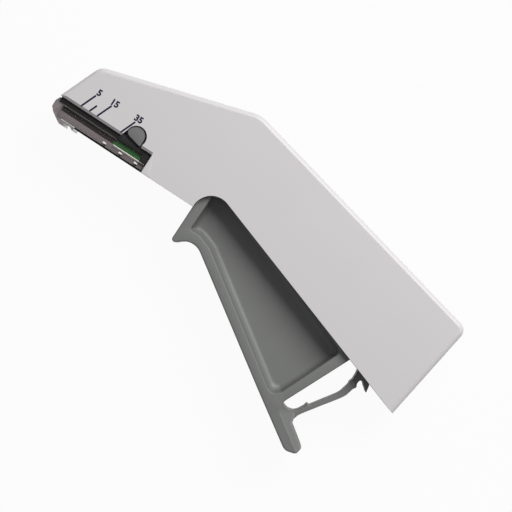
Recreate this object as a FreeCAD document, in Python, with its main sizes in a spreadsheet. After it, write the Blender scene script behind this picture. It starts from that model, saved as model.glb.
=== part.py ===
import FreeCAD, Part
import math
import os
import re
import Sketcher

# Disposable skin stapler, lying on its right side.
# Origin: on the trigger's pivot axis, in the outer face of the right shell.
# +X runs along the staple track towards the rear, +Y is up in use, +Z points to the left side.
# Lengths are millimetres, angles are degrees.

SIZES = {
    # Housing, side view
    "body_width": 20,
    "wall": 1.8,
    "belly_wall": 0.9,
    "nose_lean": 67.9,
    "brow_x": -41.15,
    "brow_y": 8.92,
    "crown_x": 8.38,
    "crown_y": 23.5,
    "shoulder_x": 97.6,
    "shoulder_y": 2.93,
    "heel_x": 92.5,
    "heel_y": -31.3,
    "underside_slope": 18.6,
    "throat_x": 6.09,
    "belly_y": -11.6,
    "window_y": -5.23,
    "window_rear_x": -13.08,
    "window_foot_x": -10.37,
    "brow_round": 4.5,
    "crown_round": 9,
    "shoulder_round": 3,
    "throat_round": 6.4,
    "rim_round": 1.6,
    "window_chamfer": 0.8,
    "rib_start_x": 35.2,
    "rib_pitch": 2.2,
    "rib_count": 21,
    "rib_height": 0.35,
    "rib_width": 1.0,
    "rib_inset": 4,
    # Pins, bosses and posts
    "pin_radius": 1.5,
    "pin_fit": 0.04,
    "pin_skin": 1.0,
    "shell_boss_radius": 3.3,
    "boss_gap": 0.2,
    "trigger_boss_radius": 3.4,
    "trigger_boss_width": 9.6,
    "lever_pivot_x": 32,
    "lever_pivot_y": 12,
    "lever_boss_radius": 3.5,
    "lever_width": 6,
    "post_radius": 2.2,
    "peg_radius": 1.1,
    "peg_length": 2.4,
    "peg_fit": 0.1,
    "front_post_x": -27.95,
    "front_post_y": 8.52,
    "crown_post_drop": 1.0,
    "middle_post_x": 51.98,
    "rear_post_x": 90.2,
    "rear_post_y": -23.9,
    # Trigger
    "trigger_gap": 0.4,
    "trigger_step": 0.09,
    "trigger_tuck": 3.2,
    "lip_tip_y": -23.24,
    "lip_low_x": 7.77,
    "lip_low_y": -23.95,
    "lip_hollow_x": 10.79,
    "lip_hollow_y": -21.49,
    "lip_crest_x": 15.02,
    "lip_crest_y": -21.78,
    "grip_start_x": 16.88,
    "grip_start_y": -23.5,
    "grip_slope": 33.8,
    "grip_end_x": 68.56,
    "tail_low_x": 72.91,
    "tail_low_y": -58.54,
    "tail_tip_x": 74.2,
    "tail_tip_y": -57.7,
    "tail_back_x": 73.71,
    "tail_back_y": -54.71,
    "waist_x": 68.88,
    "waist_y": -51.25,
    "notch_x": 62.81,
    "notch_y": -47.1,
    "rear_foot_x": 62.15,
    "rear_foot_y": -45.91,
    "rear_lean": 64.8,
    "rear_top_y": -21.8,
    "neck_low_y": -6.4,
    "lip_round": 0.8,
    "hollow_round": 2.2,
    "crest_round": 1.6,
    "tail_round": 0.7,
    "tail_back_round": 1.5,
    "waist_round": 1.2,
    "notch_round": 0.6,
    "rim_front": 3.1,
    "rim_low": 2.85,
    "rim_rear": 3.4,
    "rim_top": 2.2,
    "ledge_front_y": -17.38,
    "ledge_turn_x": 14.81,
    "ledge_turn_y": -18.42,
    "ledge_low_x": 18.38,
    "ledge_low_y": -20.17,
    "ledge_rear_x": 56.55,
    "ledge_corner_x": 59.49,
    "ledge_corner_y": -44.89,
    "web": 3,
    "pocket_draft": 20,
    # Spring arm moulded on the trigger's tail
    "flex_x": 67.5,
    "flex_y": -48.0,
    "knuckle_radius": 1.0,
    "knuckle_fit": 0.12,
    "arm_width": 8,
    "arm_thickness": 1.85,
    "arm_bow": 0.6,
    "arm_lean": 57.7,
    "arm_length": 16.2,
    "foot_length": 8,
    "foot_gap": 0.4,
    "ramp_height": 24,
    "ramp_width": 7.2,
    # Drive lever
    "horn_length": 6.2,
    "horn_radius": 1.4,
    "horn_neck": 1.6,
    "claw_fit": 0.15,
    "claw_jaw": 1.9,
    "claw_reach": 1.3,
    "lever_depth": 5,
    "lever_flute": 1.8,
    "lever_nose_x": -38,
    "lever_nose_y": 2.2,
    "lever_nose_radius": 1.3,
    "lever_neck": 2.0,
    # Former
    "blade_setback": 3.02,
    "blade_thickness": 0.7,
    "blade_inset": 0.5,
    "blade_tip_y": -7.0,
    "blade_fit": 0.3,
    "block_depth": 6.35,
    "block_low_y": -2.5,
    "block_top_y": 6.5,
    "block_play": 0.3,
    "rivet_radius": 0.8,
    "rivet_head_radius": 1.3,
    "rivet_head": 0.45,
    "rivet_length": 2.4,
    # Staple track
    "recess": 1.67,
    "crown_drop": 0.5,
    "staple_count": 35,
    "staple_wire": 0.52,
    "staple_pitch": 0.54,
    "staple_side_gap": 0.3,
    "staple_leg": 2.6,
    "track_fit": 0.07,
    "rail_width": 5.6,
    "rail_sheet": 0.6,
    "rail_rear_x": -2.2,
    "rail_rear_y": -10.5,
    "plate_thickness": 0.5,
    "plate_front_x": -37.8,
    "cover_side_gap": 0.5,
    "cover_wall": 0.9,
    "cover_floor": 0.4,
    "nose_round": 1.0,
    "cover_rear_x": -8,
    "carrier_gap": 0.3,
    "carrier_front_x": -24.5,
    "carrier_rear_x": -13.6,
    "carrier_floor": 2.5,
    "carrier_cheek": 3.0,
    "carrier_top_y": -0.2,
    "disk_x": -20.3,
    "disk_y": -3.1,
    "disk_radius": 2.8,
    "disk_recess": 0.6,
    "disk_fit": 0.5,
    "strip_thickness": 0.25,
    "strip_fit": 0.1,
    "pusher_fit": 0.25,
    "pusher_length": 8.6,
    "pusher_depth": 2.2,
    "tongue_setback": 3,
    "ejector_rear_x": -34,
    "ejector_bend_x": -42.2,
    "ejector_tip_x": -44.3,
    "ejector_rise": 1.3,
    "ejector_sheet": 0.25,
    "ejector_width": 3,
    "guide_rod_radius": 0.45,
    "guide_rod_length": 13.2,
    "spring_radius": 0.85,
    "spring_wire": 0.3,
    "spring_turns": 6,
}

document = FreeCAD.newDocument("skin_stapler")
sheet = document.addObject("Spreadsheet::Sheet", "Sizes")
for row, (alias, number) in enumerate(SIZES.items(), 1):
    sheet.set("A%d" % row, alias)
    sheet.set("B%d" % row, str(number))
    sheet.setAlias("B%d" % row, alias)
document.recompute()


def bind(text):
    """Turn an expression in plain size names into one that reads the sheet."""
    return re.sub(r"[a-z_]+", lambda word: "Sizes." + word[0] if word[0] in SIZES else word[0], text)


def value(text):
    """The number that an expression in plain size names has now."""
    return float(sheet.evalExpression(bind(text)))


def new_body(label):
    """An empty body for one sub-part."""
    body = document.addObject("PartDesign::Body", label)
    body.Label = label
    return body


def new_sketch(body, name, height="0"):
    """A sketch in the side view, lifted to a height above the right side's face."""
    drawing = body.newObject("Sketcher::SketchObject", name)
    plane = next(item for item in body.Origin.OriginFeatures if item.Role == "XY_Plane")
    drawing.AttachmentSupport = [(plane, "")]
    drawing.MapMode = "FlatFace"
    drawing.setExpression("AttachmentOffset.Base.z", bind(height))
    return drawing


def pin_down(drawing, geometry, position, point):
    """Tie one point of a sketch to a pair of expressions."""
    for kind, text in zip(("DistanceX", "DistanceY"), point):
        rule = Sketcher.Constraint(kind, -1, 1, geometry, position, value(text))
        number = drawing.addConstraint(rule)
        drawing.setExpression("Constraints[%d]" % number, bind(text))


def draw_polygon(drawing, corners):
    """A closed outline of straight runs."""
    points = [FreeCAD.Vector(value(x), value(y), 0) for x, y in corners]
    first = drawing.GeometryCount
    count = len(points)
    for index in range(count):
        run = Part.LineSegment(points[index], points[(index + 1) % count])
        drawing.addGeometry(run, False)
    for index in range(count):
        following = first + (index + 1) % count
        drawing.addConstraint(Sketcher.Constraint("Coincident", first + index, 2, following, 1))
    for index, corner in enumerate(corners):
        pin_down(drawing, first + index, 1, corner)


def draw_circle(drawing, centre, radius):
    """A full circle round a point."""
    middle = FreeCAD.Vector(value(centre[0]), value(centre[1]), 0)
    circle = Part.Circle(middle, FreeCAD.Vector(0, 0, 1), value(radius))
    index = drawing.addGeometry(circle, False)
    pin_down(drawing, index, 3, centre)
    number = drawing.addConstraint(Sketcher.Constraint("Radius", index, value(radius)))
    drawing.setExpression("Constraints[%d]" % number, bind(radius))


def raise_pad(body, drawing, name, length):
    """Material from the sketch towards +Z."""
    feature = body.newObject("PartDesign::Pad", name)
    feature.Profile = drawing
    feature.setExpression("Length", bind(length))
    document.recompute()
    return feature


def cut_pocket(body, drawing, name, length):
    """A recess from the sketch towards +Z, checked against the volume that it leaves."""
    before = body.Shape.Volume
    feature = body.newObject("PartDesign::Pocket", name)
    feature.Profile = drawing
    feature.Reversed = True
    feature.setExpression("Length", bind(length))
    document.recompute()
    if body.Shape.Volume >= before:
        raise RuntimeError("the recess %s removes nothing" % name)
    return feature


def sloped_pocket(body, side, name, face, depth, corners, slope):
    """A recess sunk from one side's face, with walls that slope inwards by an angle."""
    drawing = new_sketch(body, name + "_sketch", face)
    draw_polygon(drawing, corners)
    before = body.Shape.Volume
    feature = body.newObject("PartDesign::Pocket", name)
    feature.Profile = drawing
    feature.Reversed = side == "right"
    feature.setExpression("Length", bind(depth))
    feature.setExpression("TaperAngle", bind("-(%s)" % slope))
    document.recompute()
    if body.Shape.Volume >= before:
        raise RuntimeError("the recess %s removes nothing" % name)
    return feature


def slab(body, name, low, high, corners=(), circles=()):
    """Pad outlines between two heights."""
    drawing = new_sketch(body, name + "_sketch", low)
    if corners:
        draw_polygon(drawing, corners)
    for centre, radius in circles:
        draw_circle(drawing, centre, radius)
    return raise_pad(body, drawing, name, "(%s) - (%s)" % (high, low))


def recess(body, name, low, high, corners=(), circles=()):
    """Cut outlines between two heights."""
    drawing = new_sketch(body, name + "_sketch", low)
    if corners:
        draw_polygon(drawing, corners)
    for centre, radius in circles:
        draw_circle(drawing, centre, radius)
    return cut_pocket(body, drawing, name, "(%s) - (%s)" % (high, low))


def upright_edges(shape, corners):
    """Names of the edges along Z that stand at the given corners."""
    names = []
    for x_text, y_text in corners:
        x, y = value(x_text), value(y_text)
        for number, edge in enumerate(shape.Edges, 1):
            box = edge.BoundBox
            upright = box.ZLength > 0.05 and box.XLength + box.YLength < 0.002
            if upright and abs(box.XMin - x) + abs(box.YMin - y) < 0.01:
                names.append("Edge%d" % number)
    return names


def round_edges(body, name, base, names, radius):
    """A fillet on named edges of the body's last feature."""
    feature = body.newObject("PartDesign::Fillet", name)
    feature.Base = (base, names)
    feature.setExpression("Radius", bind(radius))
    document.recompute()
    return feature


def box_corners(left, right, low, high):
    """Corners of an upright rectangle."""
    return [(left, low), (right, low), (right, high), (left, high)]


# Lines that lie parallel to the nose's front face: the former, the staples and the printed scale
# all lean with it. A point is given by its distance behind the front face and its height.
NOSE_FOOT_X = "(brow_x - (brow_y - window_y) / tan(nose_lean))"


def leaning(back, y):
    """A point behind the front face by a distance, at a height."""
    x = "%s + ((%s) - window_y) / tan(nose_lean) + (%s) / sin(nose_lean)" % (NOSE_FOOT_X, y, back)
    return (x, y)


def underside(x, rise="0"):
    """Height of the housing's underside line at a place along the track, raised by an amount."""
    return "heel_y - ((%s) - heel_x) * tan(underside_slope) + (%s)" % (x, rise)


HALF = "body_width / 2"
PIVOT = ("0", "0")
LEVER_PIVOT = ("lever_pivot_x", "lever_pivot_y")
BROW = ("brow_x", "brow_y")
CROWN = ("crown_x", "crown_y")
SHOULDER = ("shoulder_x", "shoulder_y")
THROAT = ("throat_x", underside("throat_x"))


def centred(width, side):
    """Height of one side of a layer that is centred between the shells."""
    return "body_width / 2 %s (%s) / 2" % (side, width)


# Levels of the staple track
COVER_TOP = "window_y - recess"
STAPLE_TOP = "window_y - recess - crown_drop"
RAIL_TOP = STAPLE_TOP + " - staple_wire / sin(nose_lean) - track_fit"
PLATE_TOP = "belly_y + plate_thickness"
STRIP_TOP = STAPLE_TOP + " + strip_fit + strip_thickness"
BLADE_FRONT = "blade_setback - blade_thickness / 2"
BLADE_REAR = "blade_setback + blade_thickness / 2"
STACK_DEPTH = "(staple_count - 1) * staple_pitch"
STAPLE_SPAN = "(body_width - 2 * (wall + cover_side_gap + cover_wall + staple_side_gap))"


def parallel_inside(start, end, reach_from, reach_to):
    """Two points on the line a wall's thickness inside a run of the housing, at given fractions."""
    x1, y1, x2, y2 = (value(text) for text in start + end)
    length = math.hypot(x2 - x1, y2 - y1)
    # The outline runs clockwise, so that its inner side is on the right of each run.
    inward = ((y2 - y1) / length, -(x2 - x1) / length)
    wall = value("wall")
    points = []
    for reach in (reach_from, reach_to):
        points.append((x1 + (x2 - x1) * reach + inward[0] * wall, y1 + (y2 - y1) * reach + inward[1] * wall))
    return points


def crossing(first, second):
    """Where two lines meet, each given by two points."""
    (ax, ay), (bx, by) = first
    (cx, cy), (dx, dy) = second
    cross = (bx - ax) * (dy - cy) - (by - ay) * (dx - cx)
    share = ((cx - ax) * (dy - cy) - (cy - ay) * (dx - cx)) / cross
    return (ax + share * (bx - ax), ay + share * (by - ay))


HOUSING = [
    (NOSE_FOOT_X, "window_y"),
    BROW,
    CROWN,
    SHOULDER,
    ("heel_x", "heel_y"),
    THROAT,
    ("throat_x", "belly_y"),
    ("window_foot_x", "belly_y"),
    ("window_rear_x", "window_y"),
]


WINDOW_TOP = box_corners("brow_x - 2 * brow_y", "window_rear_x", "belly_y", "window_y + window_chamfer")


def cavity_corners():
    """Inner outline of a shell: a wall inside the nose, head, back and end, open below."""
    runs = [parallel_inside(HOUSING[index], HOUSING[index + 1], 0, 1) for index in range(4)]
    deep = value("tail_low_y")
    below = value("belly_y - belly_wall")
    nose_low = crossing(runs[0], ((0, below - 1), (1, below - 1)))
    rear_low = crossing(runs[3], ((0, deep), (1, deep)))
    meeting = [crossing(runs[index], runs[index + 1]) for index in range(3)]
    floor = value("belly_y + belly_wall")
    throat = value("throat_x - trigger_step - trigger_gap")
    mouth = value("window_rear_x")
    points = [nose_low] + meeting + [rear_low, (throat, deep), (throat, floor), (mouth, floor), (mouth, below - 1)]
    return [(repr(round(x, 6)), repr(round(y, 6))) for x, y in points]


def back_point(x, rise):
    """A point over the back line by a height measured upwards."""
    slope = "(shoulder_y - crown_y) / (shoulder_x - crown_x)"
    return (x, "crown_y + ((%s) - crown_x) * %s + (%s)" % (x, slope, rise))


# Joining posts: the left shell's pegs press into the right shell's sockets.
POSTS = [
    ("front_post_x", "front_post_y"),
    ("crown_x", "crown_y - wall - post_radius - crown_post_drop"),
    back_point("middle_post_x", "-wall - post_radius"),
    ("rear_post_x", "rear_post_y"),
]


def on_arm(along, across):
    """A point along the spring arm from its flexing root, across it towards the rear."""
    x = "flex_x + (%s) * cos(arm_lean) + (%s) * sin(arm_lean)" % (along, across)
    y = "flex_y + (%s) * sin(arm_lean) - (%s) * cos(arm_lean)" % (along, across)
    return (x, y)


# The ramp stands over the arm's end. Its rear flank follows the path of the foot's upper corner,
# a small gap away from it. The points are shares of the ramp's height.
ARM_END = on_arm("arm_length", "0")
RAMP = [
    ("%s + %s * ramp_height - foot_gap" % (ARM_END[0], along), "%s + %s * ramp_height" % (ARM_END[1], up))
    for along, up in (
        (0.046, 0.413),
        (0.291, 0.95),
        (0.423, 1.367),
        (0.364, 1.388),
        (0.206, 0.971),
        (-0.023, 0.438),
    )
]


def side_levels(side, near, far):
    """Heights of a layer that is measured inwards from one shell's outer face."""
    if side == "right":
        return near, far
    return "body_width - (%s)" % far, "body_width - (%s)" % near


def make_shell(side):
    """One half of the housing, from its outer face to the joint at mid-width."""
    body = new_body("housing_" + side)
    outer = 0.0 if side == "right" else value("body_width")
    low, high = side_levels(side, "0", HALF)
    base = slab(body, "plate", low, high, HOUSING)
    for name, corner, radius in (
        ("brow_curve", BROW, "brow_round"),
        ("crown_curve", CROWN, "crown_round"),
        ("shoulder_curve", SHOULDER, "shoulder_round"),
        ("throat_curve", THROAT, "throat_round"),
    ):
        base = round_edges(body, name, base, upright_edges(base.Shape, [corner]), radius)
    rim = []
    for number, edge in enumerate(base.Shape.Edges, 1):
        box = edge.BoundBox
        on_face = box.ZLength < 0.001 and abs(box.ZMin - outer) < 0.001
        centre = edge.CenterOfMass
        if on_face and centre.y > value("crown_y") - 13 and abs(centre.x - value("crown_x")) < 50:
            rim.append("Edge%d" % number)
    # One edge is enough, because the others follow it tangentially
    base = round_edges(body, "rim_curve", base, rim[:1], "rim_round")

    low, high = side_levels(side, "wall", HALF)
    recess(body, "cavity", low, high, cavity_corners())

    # U-shaped notch round the cartridge carrier's disk
    low, high = side_levels(side, "0", "wall")
    notch_radius = "disk_radius + disk_fit"
    recess(body, "notch_arch", low, high, circles=[(("disk_x", "disk_y"), notch_radius)])
    slope = [
        ("disk_x - disk_radius - disk_fit - 1.2", "window_y - 1"),
        ("disk_x + disk_radius + disk_fit - 0.1", "window_y - 1"),
        ("disk_x + disk_radius + disk_fit - 0.3", "disk_y"),
        ("disk_x - disk_radius - disk_fit + 0.1", "disk_y + 0.6"),
    ]
    recess(body, "notch_mouth", low, high, slope)

    # Bevel along the window's top edge, outside
    face = "0" if side == "right" else "body_width"
    sloped_pocket(body, side, "window_bevel", face, "window_chamfer", WINDOW_TOP, "45")

    # Bearings of the two pins
    low, high = side_levels(side, "wall", "%s - trigger_boss_width / 2 - boss_gap" % HALF)
    slab(body, "trigger_bearing", low, high, circles=[(PIVOT, "shell_boss_radius")])
    low, high = side_levels(side, "wall", "%s - lever_width / 2 - boss_gap" % HALF)
    slab(body, "lever_bearing", low, high, circles=[(LEVER_PIVOT, "shell_boss_radius")])
    low, high = side_levels(side, "pin_skin", HALF)
    recess(body, "trigger_pin_hole", low, high, circles=[(PIVOT, "pin_radius")])
    recess(body, "lever_pin_hole", low, high, circles=[(LEVER_PIVOT, "pin_radius")])

    # Joining posts
    low, high = side_levels(side, "wall", HALF)
    slab(body, "posts", low, high, circles=[(post, "post_radius") for post in POSTS])
    if side == "left":
        low, high = "%s - peg_length" % HALF, HALF
        slab(body, "pegs", low, high, circles=[(post, "peg_radius") for post in POSTS])
    else:
        low, high = "%s - peg_length - peg_fit" % HALF, HALF
        recess(body, "sockets", low, high, circles=[(post, "peg_radius + peg_fit") for post in POSTS])

    # Ramp that bends the spring arm as its foot runs up inside the housing
    low, high = side_levels(side, "wall", "wall + ramp_width")
    slab(body, "foot_ramp", low, high, RAMP)

    # Grip ribs across the back
    add_ribs(body, side)
    return body


def add_ribs(body, side):
    """Fine cross ribs on the back, repeated along it."""
    low, high = side_levels(side, "rib_inset", HALF)
    drawing = new_sketch(body, "rib_sketch", low)
    draw_polygon(drawing, [
        back_point("rib_start_x - rib_width / 2", "-0.3"),
        back_point("rib_start_x + rib_width / 2", "-0.3"),
        back_point("rib_start_x + rib_width / 2", "0"),
        back_point("rib_start_x", "rib_height"),
        back_point("rib_start_x - rib_width / 2", "0"),
    ])
    start = [value(text) for text in back_point("rib_start_x", "-0.3")]
    end = [value(text) for text in back_point("rib_start_x + 10", "-0.3")]
    guide = Part.LineSegment(FreeCAD.Vector(*start, 0), FreeCAD.Vector(*end, 0))
    index = drawing.addGeometry(guide, True)
    pin_down(drawing, index, 1, back_point("rib_start_x", "-0.3"))
    pin_down(drawing, index, 2, back_point("rib_start_x + 10", "-0.3"))
    rib = raise_pad(body, drawing, "rib", "(%s) - (%s)" % (high, low))
    pattern = body.newObject("PartDesign::LinearPattern", "ribs")
    pattern.Originals = [rib]
    pattern.Direction = (drawing, ["Axis0"])
    pattern.setExpression("Length", bind("rib_pitch * (rib_count - 1)"))
    pattern.setExpression("Occurrences", bind("rib_count"))
    body.Tip = pattern
    document.recompute()
    return pattern


make_shell("right")
make_shell("left")


# Trigger: a moulded lever with a deep pocket in each side, a boss on the pivot pin and a horn
# in front of it that works the drive lever.
trigger = new_body("trigger")
TRIGGER_FRONT = "throat_x - trigger_step"
GRIP_END = ("grip_end_x", "grip_start_y - (grip_end_x - grip_start_x) * tan(grip_slope)")
REAR_TOP = ("rear_foot_x + (rear_top_y - rear_foot_y) / tan(rear_lean)", "rear_top_y")
GRIP = [
    (TRIGGER_FRONT, underside(TRIGGER_FRONT, "trigger_tuck")),
    (TRIGGER_FRONT, "lip_tip_y"),
    ("lip_low_x", "lip_low_y"),
    ("lip_hollow_x", "lip_hollow_y"),
    ("lip_crest_x", "lip_crest_y"),
    ("grip_start_x", "grip_start_y"),
    GRIP_END,
    ("tail_low_x", "tail_low_y"),
    ("tail_tip_x", "tail_tip_y"),
    ("tail_back_x", "tail_back_y"),
    ("waist_x", "waist_y"),
    ("flex_x + 1.25", "flex_y - 0.9"),
    ("flex_x - 1.3", "flex_y + 0.5"),
    ("notch_x", "notch_y"),
    ("rear_foot_x", "rear_foot_y"),
    REAR_TOP,
]
grip_low = "wall + trigger_gap"
grip_high = "body_width - wall - trigger_gap"
grip = slab(trigger, "grip", grip_low, grip_high, GRIP)
for name, corners, radius in (
    ("lip_curve", [GRIP[1], GRIP[2]], "lip_round"),
    ("hollow_curve", [GRIP[3]], "hollow_round"),
    ("crest_curve", [GRIP[4], GRIP[5]], "crest_round"),
    ("tail_curve", [GRIP[7], GRIP[8]], "tail_round"),
    ("tail_back_curve", [GRIP[9]], "tail_back_round"),
    ("waist_curve", [GRIP[10]], "waist_round"),
    ("notch_curve", [GRIP[13], GRIP[14]], "notch_round"),
):
    grip = round_edges(trigger, name, grip, upright_edges(grip.Shape, corners), radius)
NECK = [
    ("-trigger_boss_radius * 0.7", "-trigger_boss_radius * 0.7"),
    (TRIGGER_FRONT, "neck_low_y"),
    ("%s + 2" % TRIGGER_FRONT, "neck_low_y"),
    ("%s + 4" % TRIGGER_FRONT, underside("%s + 4" % TRIGGER_FRONT, "trigger_tuck")),
    ("trigger_boss_radius * 0.4", "trigger_boss_radius * 0.91"),
]
boss_low = centred("trigger_boss_width", "-")
boss_high = centred("trigger_boss_width", "+")
slab(trigger, "neck", boss_low, boss_high, NECK)
slab(trigger, "boss", boss_low, boss_high, circles=[(PIVOT, "trigger_boss_radius")])
lever_low = centred("lever_width", "-")
lever_high = centred("lever_width", "+")
slab(trigger, "horn", lever_low, lever_high, box_corners("-horn_length", "0", "-horn_neck / 2", "horn_neck / 2"))
slab(trigger, "horn_tip", lever_low, lever_high, circles=[(("-horn_length", "0"), "horn_radius")])
recess(trigger, "pin_bore", boss_low, boss_high, circles=[(PIVOT, "pin_radius + pin_fit")])
recess(trigger, "knuckle_seat", grip_low, grip_high,
       circles=[(("flex_x", "flex_y"), "knuckle_radius + knuckle_fit")])

POCKET = [
    ("%s + rim_front" % TRIGGER_FRONT, underside("%s + rim_front" % TRIGGER_FRONT, "trigger_tuck - rim_top")),
    ("%s + rim_front" % TRIGGER_FRONT, "ledge_front_y"),
    ("ledge_turn_x", "ledge_turn_y"),
    ("ledge_low_x", "ledge_low_y"),
    ("ledge_rear_x", "grip_start_y + rim_low / cos(grip_slope) - (ledge_rear_x - grip_start_x) * tan(grip_slope)"),
    ("ledge_corner_x", "ledge_corner_y"),
    ("rear_foot_x - rim_rear / sin(rear_lean) + (rear_top_y - rim_top - rear_foot_y) / tan(rear_lean)",
     "rear_top_y - rim_top"),
]
pocket_depth = "(body_width - 2 * wall - 2 * trigger_gap - web) / 2"
for side, low in (("right", grip_low), ("left", grip_high)):
    sloped_pocket(trigger, side, side + "_pocket", low, pocket_depth, POCKET, "pocket_draft")


# Spring arm: moulded with the trigger, thin at its root so that it bends there. Its foot runs on
# the two ramps inside the housing and pushes the trigger back out.
arm = new_body("trigger_spring_arm")


# Upper and lower edge of the bowed beam, as shares of the arm's length, bow and thickness
BEAM = [
    (-0.012, 0.0, 1.0),
    (0.31, 0.4, 0.87),
    (0.63, 0.9, 0.77),
    (0.86, 1.1, 0.84),
    (1.04, 0.95, 1.11),
]
# Hooked foot beyond the beam, as shares of the foot's length
FOOT = [
    (0.39, -0.16),
    (0.43, -0.21),
    (0.49, -0.23),
    (0.575, -0.25),
    (0.8, -0.4),
    (0.91, -0.5),
    (1.07, -0.508),
    (1.196, -0.144),
    (1.025, 0.254),
    (0.825, 0.431),
    (0.84, 0.288),
    (0.845, 0.09),
    (0.844, -0.03),
    (0.81, -0.084),
    (0.74, -0.069),
    (0.65, -0.016),
    (0.6, 0.06),
    (0.54, 0.1),
    (0.425, 0.1),
    (0.275, 0.1425),
]


def beam_edge(side):
    """Points along the beam's upper or lower edge, from the root to the foot."""
    return [
        on_arm("%s * arm_length" % along, "%s * arm_bow %s %s * arm_thickness / 2" % (bow, side, depth))
        for along, bow, depth in BEAM
    ]


ARM = beam_edge("-")
ARM += [on_arm("arm_length + %s * foot_length" % along, "%s * foot_length" % across) for along, across in FOOT]
ARM += beam_edge("+")[::-1]
arm_low = centred("arm_width", "-")
arm_high = centred("arm_width", "+")
slab(arm, "beam", arm_low, arm_high, ARM)
slab(arm, "knuckle", arm_low, arm_high, circles=[(("flex_x", "flex_y"), "knuckle_radius")])


# Steel pins
def make_pin(label, centre):
    """A plain pin held at its ends in the blind holes of the two shells."""
    body = new_body(label)
    slab(body, "shank", "pin_skin", "body_width - pin_skin", circles=[(centre, "pin_radius")])


make_pin("trigger_pivot_pin", PIVOT)
make_pin("lever_pivot_pin", LEVER_PIVOT)

# Drive lever: a long beam over the trigger's boss. Its claw holds the trigger's horn and its
# nose sits in the former's slot.
lever = new_body("drive_lever")
claw_half = "horn_radius + claw_fit"
claw_right = "claw_reach - horn_length"
claw_shut = "-horn_length - horn_radius - claw_fit - 0.45"
LEVER = [
    ("lever_pivot_x", "lever_pivot_y - lever_boss_radius"),
    ("0", "trigger_boss_radius + 2"),
    (claw_right, "trigger_boss_radius + 1.6"),
    (claw_right, claw_half),
    (claw_shut, claw_half),
    (claw_shut, "-(%s)" % claw_half),
    (claw_right, "-(%s)" % claw_half),
    (claw_right, "-(%s) - claw_jaw" % claw_half),
    ("%s - 2" % claw_shut, "-(%s) - claw_jaw" % claw_half),
    ("%s - 4.6" % claw_shut, "lever_nose_y - 3.3"),
    ("lever_nose_x + 7.2", "lever_nose_y - 1.9"),
    ("lever_nose_x + 5.6", "lever_nose_y - lever_neck / 2"),
    ("lever_nose_x", "lever_nose_y - lever_neck / 2"),
    ("lever_nose_x", "lever_nose_y + lever_neck / 2"),
    ("lever_nose_x + 5.6", "lever_nose_y + lever_neck / 2"),
    ("lever_nose_x + 8", "lever_nose_y + 2.6"),
    ("0", "trigger_boss_radius + 2 + lever_depth"),
    ("lever_pivot_x", "lever_pivot_y + lever_boss_radius"),
]
slab(lever, "beam", lever_low, lever_high, LEVER)
slab(lever, "boss", lever_low, lever_high, circles=[(LEVER_PIVOT, "lever_boss_radius")])
slab(lever, "nose", lever_low, lever_high, circles=[(("lever_nose_x", "lever_nose_y"), "lever_nose_radius")])
recess(lever, "pin_bore", lever_low, lever_high, circles=[(LEVER_PIVOT, "pin_radius + pin_fit")])
LIGHTENING = [
    ("2", "trigger_boss_radius + 4"),
    ("lever_pivot_x - 6", "lever_pivot_y - 1.6"),
    ("lever_pivot_x - 6", "lever_pivot_y + 1.2"),
    ("2", "trigger_boss_radius + lever_depth + 0.2"),
]
recess(lever, "right_flute", lever_low, "%s + lever_flute" % lever_low, LIGHTENING)
recess(lever, "left_flute", "%s - lever_flute" % lever_high, lever_high, LIGHTENING)

# Former: the block slides down the nose between the shells and carries the blade in front.
block = new_body("former_carrier")
BLOCK_REAR = "%s + block_depth" % BLADE_REAR
BLOCK = [
    leaning(BLADE_REAR, "block_low_y"),
    leaning(BLOCK_REAR, "block_low_y"),
    leaning(BLOCK_REAR, "block_top_y"),
    leaning(BLADE_REAR, "block_top_y"),
]
slab(block, "block", "wall + block_play", "body_width - wall - block_play", BLOCK)
slot_low = "%s - 0.3" % lever_low
slot_high = "%s + 0.3" % lever_high
slot_half = "lever_nose_radius + claw_fit"
recess(block, "slot", slot_low, slot_high,
       box_corners("lever_nose_x", "lever_nose_x + 12",
                   "lever_nose_y - (%s)" % slot_half, "lever_nose_y + (%s)" % slot_half))
recess(block, "slot_end", slot_low, slot_high, circles=[(("lever_nose_x", "lever_nose_y"), slot_half)])


def stand_on_nose(body, back):
    """Turn a body so that its sketch plane faces the nose: across is +Z, up follows the lean."""
    lean = math.radians(value("nose_lean"))
    up = FreeCAD.Vector(math.cos(lean), math.sin(lean), 0)
    across = FreeCAD.Vector(0, 0, 1)
    rotation = FreeCAD.Rotation(across, up, across.cross(up), "XYZ")
    base = FreeCAD.Vector(value(leaning(back, "window_y")[0]), value("window_y"), 0)
    body.Placement = FreeCAD.Placement(base, rotation)
    body.setExpression("Placement.Base.x", bind(leaning(back, "window_y")[0]))
    body.setExpression("Placement.Base.y", bind("window_y"))


# Heights along the lean, from the level of the window's top
BLADE_TIP_UP = "(blade_tip_y - window_y) / sin(nose_lean)"
BLADE_TOP_UP = "(block_top_y - window_y) / sin(nose_lean)"
RIVET_UPS = ["(block_low_y + 1.75 - window_y) / sin(nose_lean)", "(block_top_y - 1.0 - window_y) / sin(nose_lean)"]
blade_left = centred(STAPLE_SPAN, "-") + " + blade_inset"
blade_right = centred(STAPLE_SPAN, "+") + " - blade_inset"
notch_left = "body_width / 2 - rail_width / 2 - 0.25"
notch_right = "body_width / 2 + rail_width / 2 + 0.25"
blade = new_body("former_blade")
slab(blade, "sheet", "0", "blade_thickness", [
    (blade_left, BLADE_TIP_UP),
    (notch_left, BLADE_TIP_UP),
    (notch_left, "%s + 4.6" % BLADE_TIP_UP),
    (notch_right, "%s + 4.6" % BLADE_TIP_UP),
    (notch_right, BLADE_TIP_UP),
    (blade_right, BLADE_TIP_UP),
    (blade_right, BLADE_TOP_UP),
    (blade_left, BLADE_TOP_UP),
])
recess(blade, "rivet_holes", "0", "blade_thickness",
       circles=[((HALF, up), "rivet_radius") for up in RIVET_UPS])
stand_on_nose(blade, BLADE_REAR)

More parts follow.
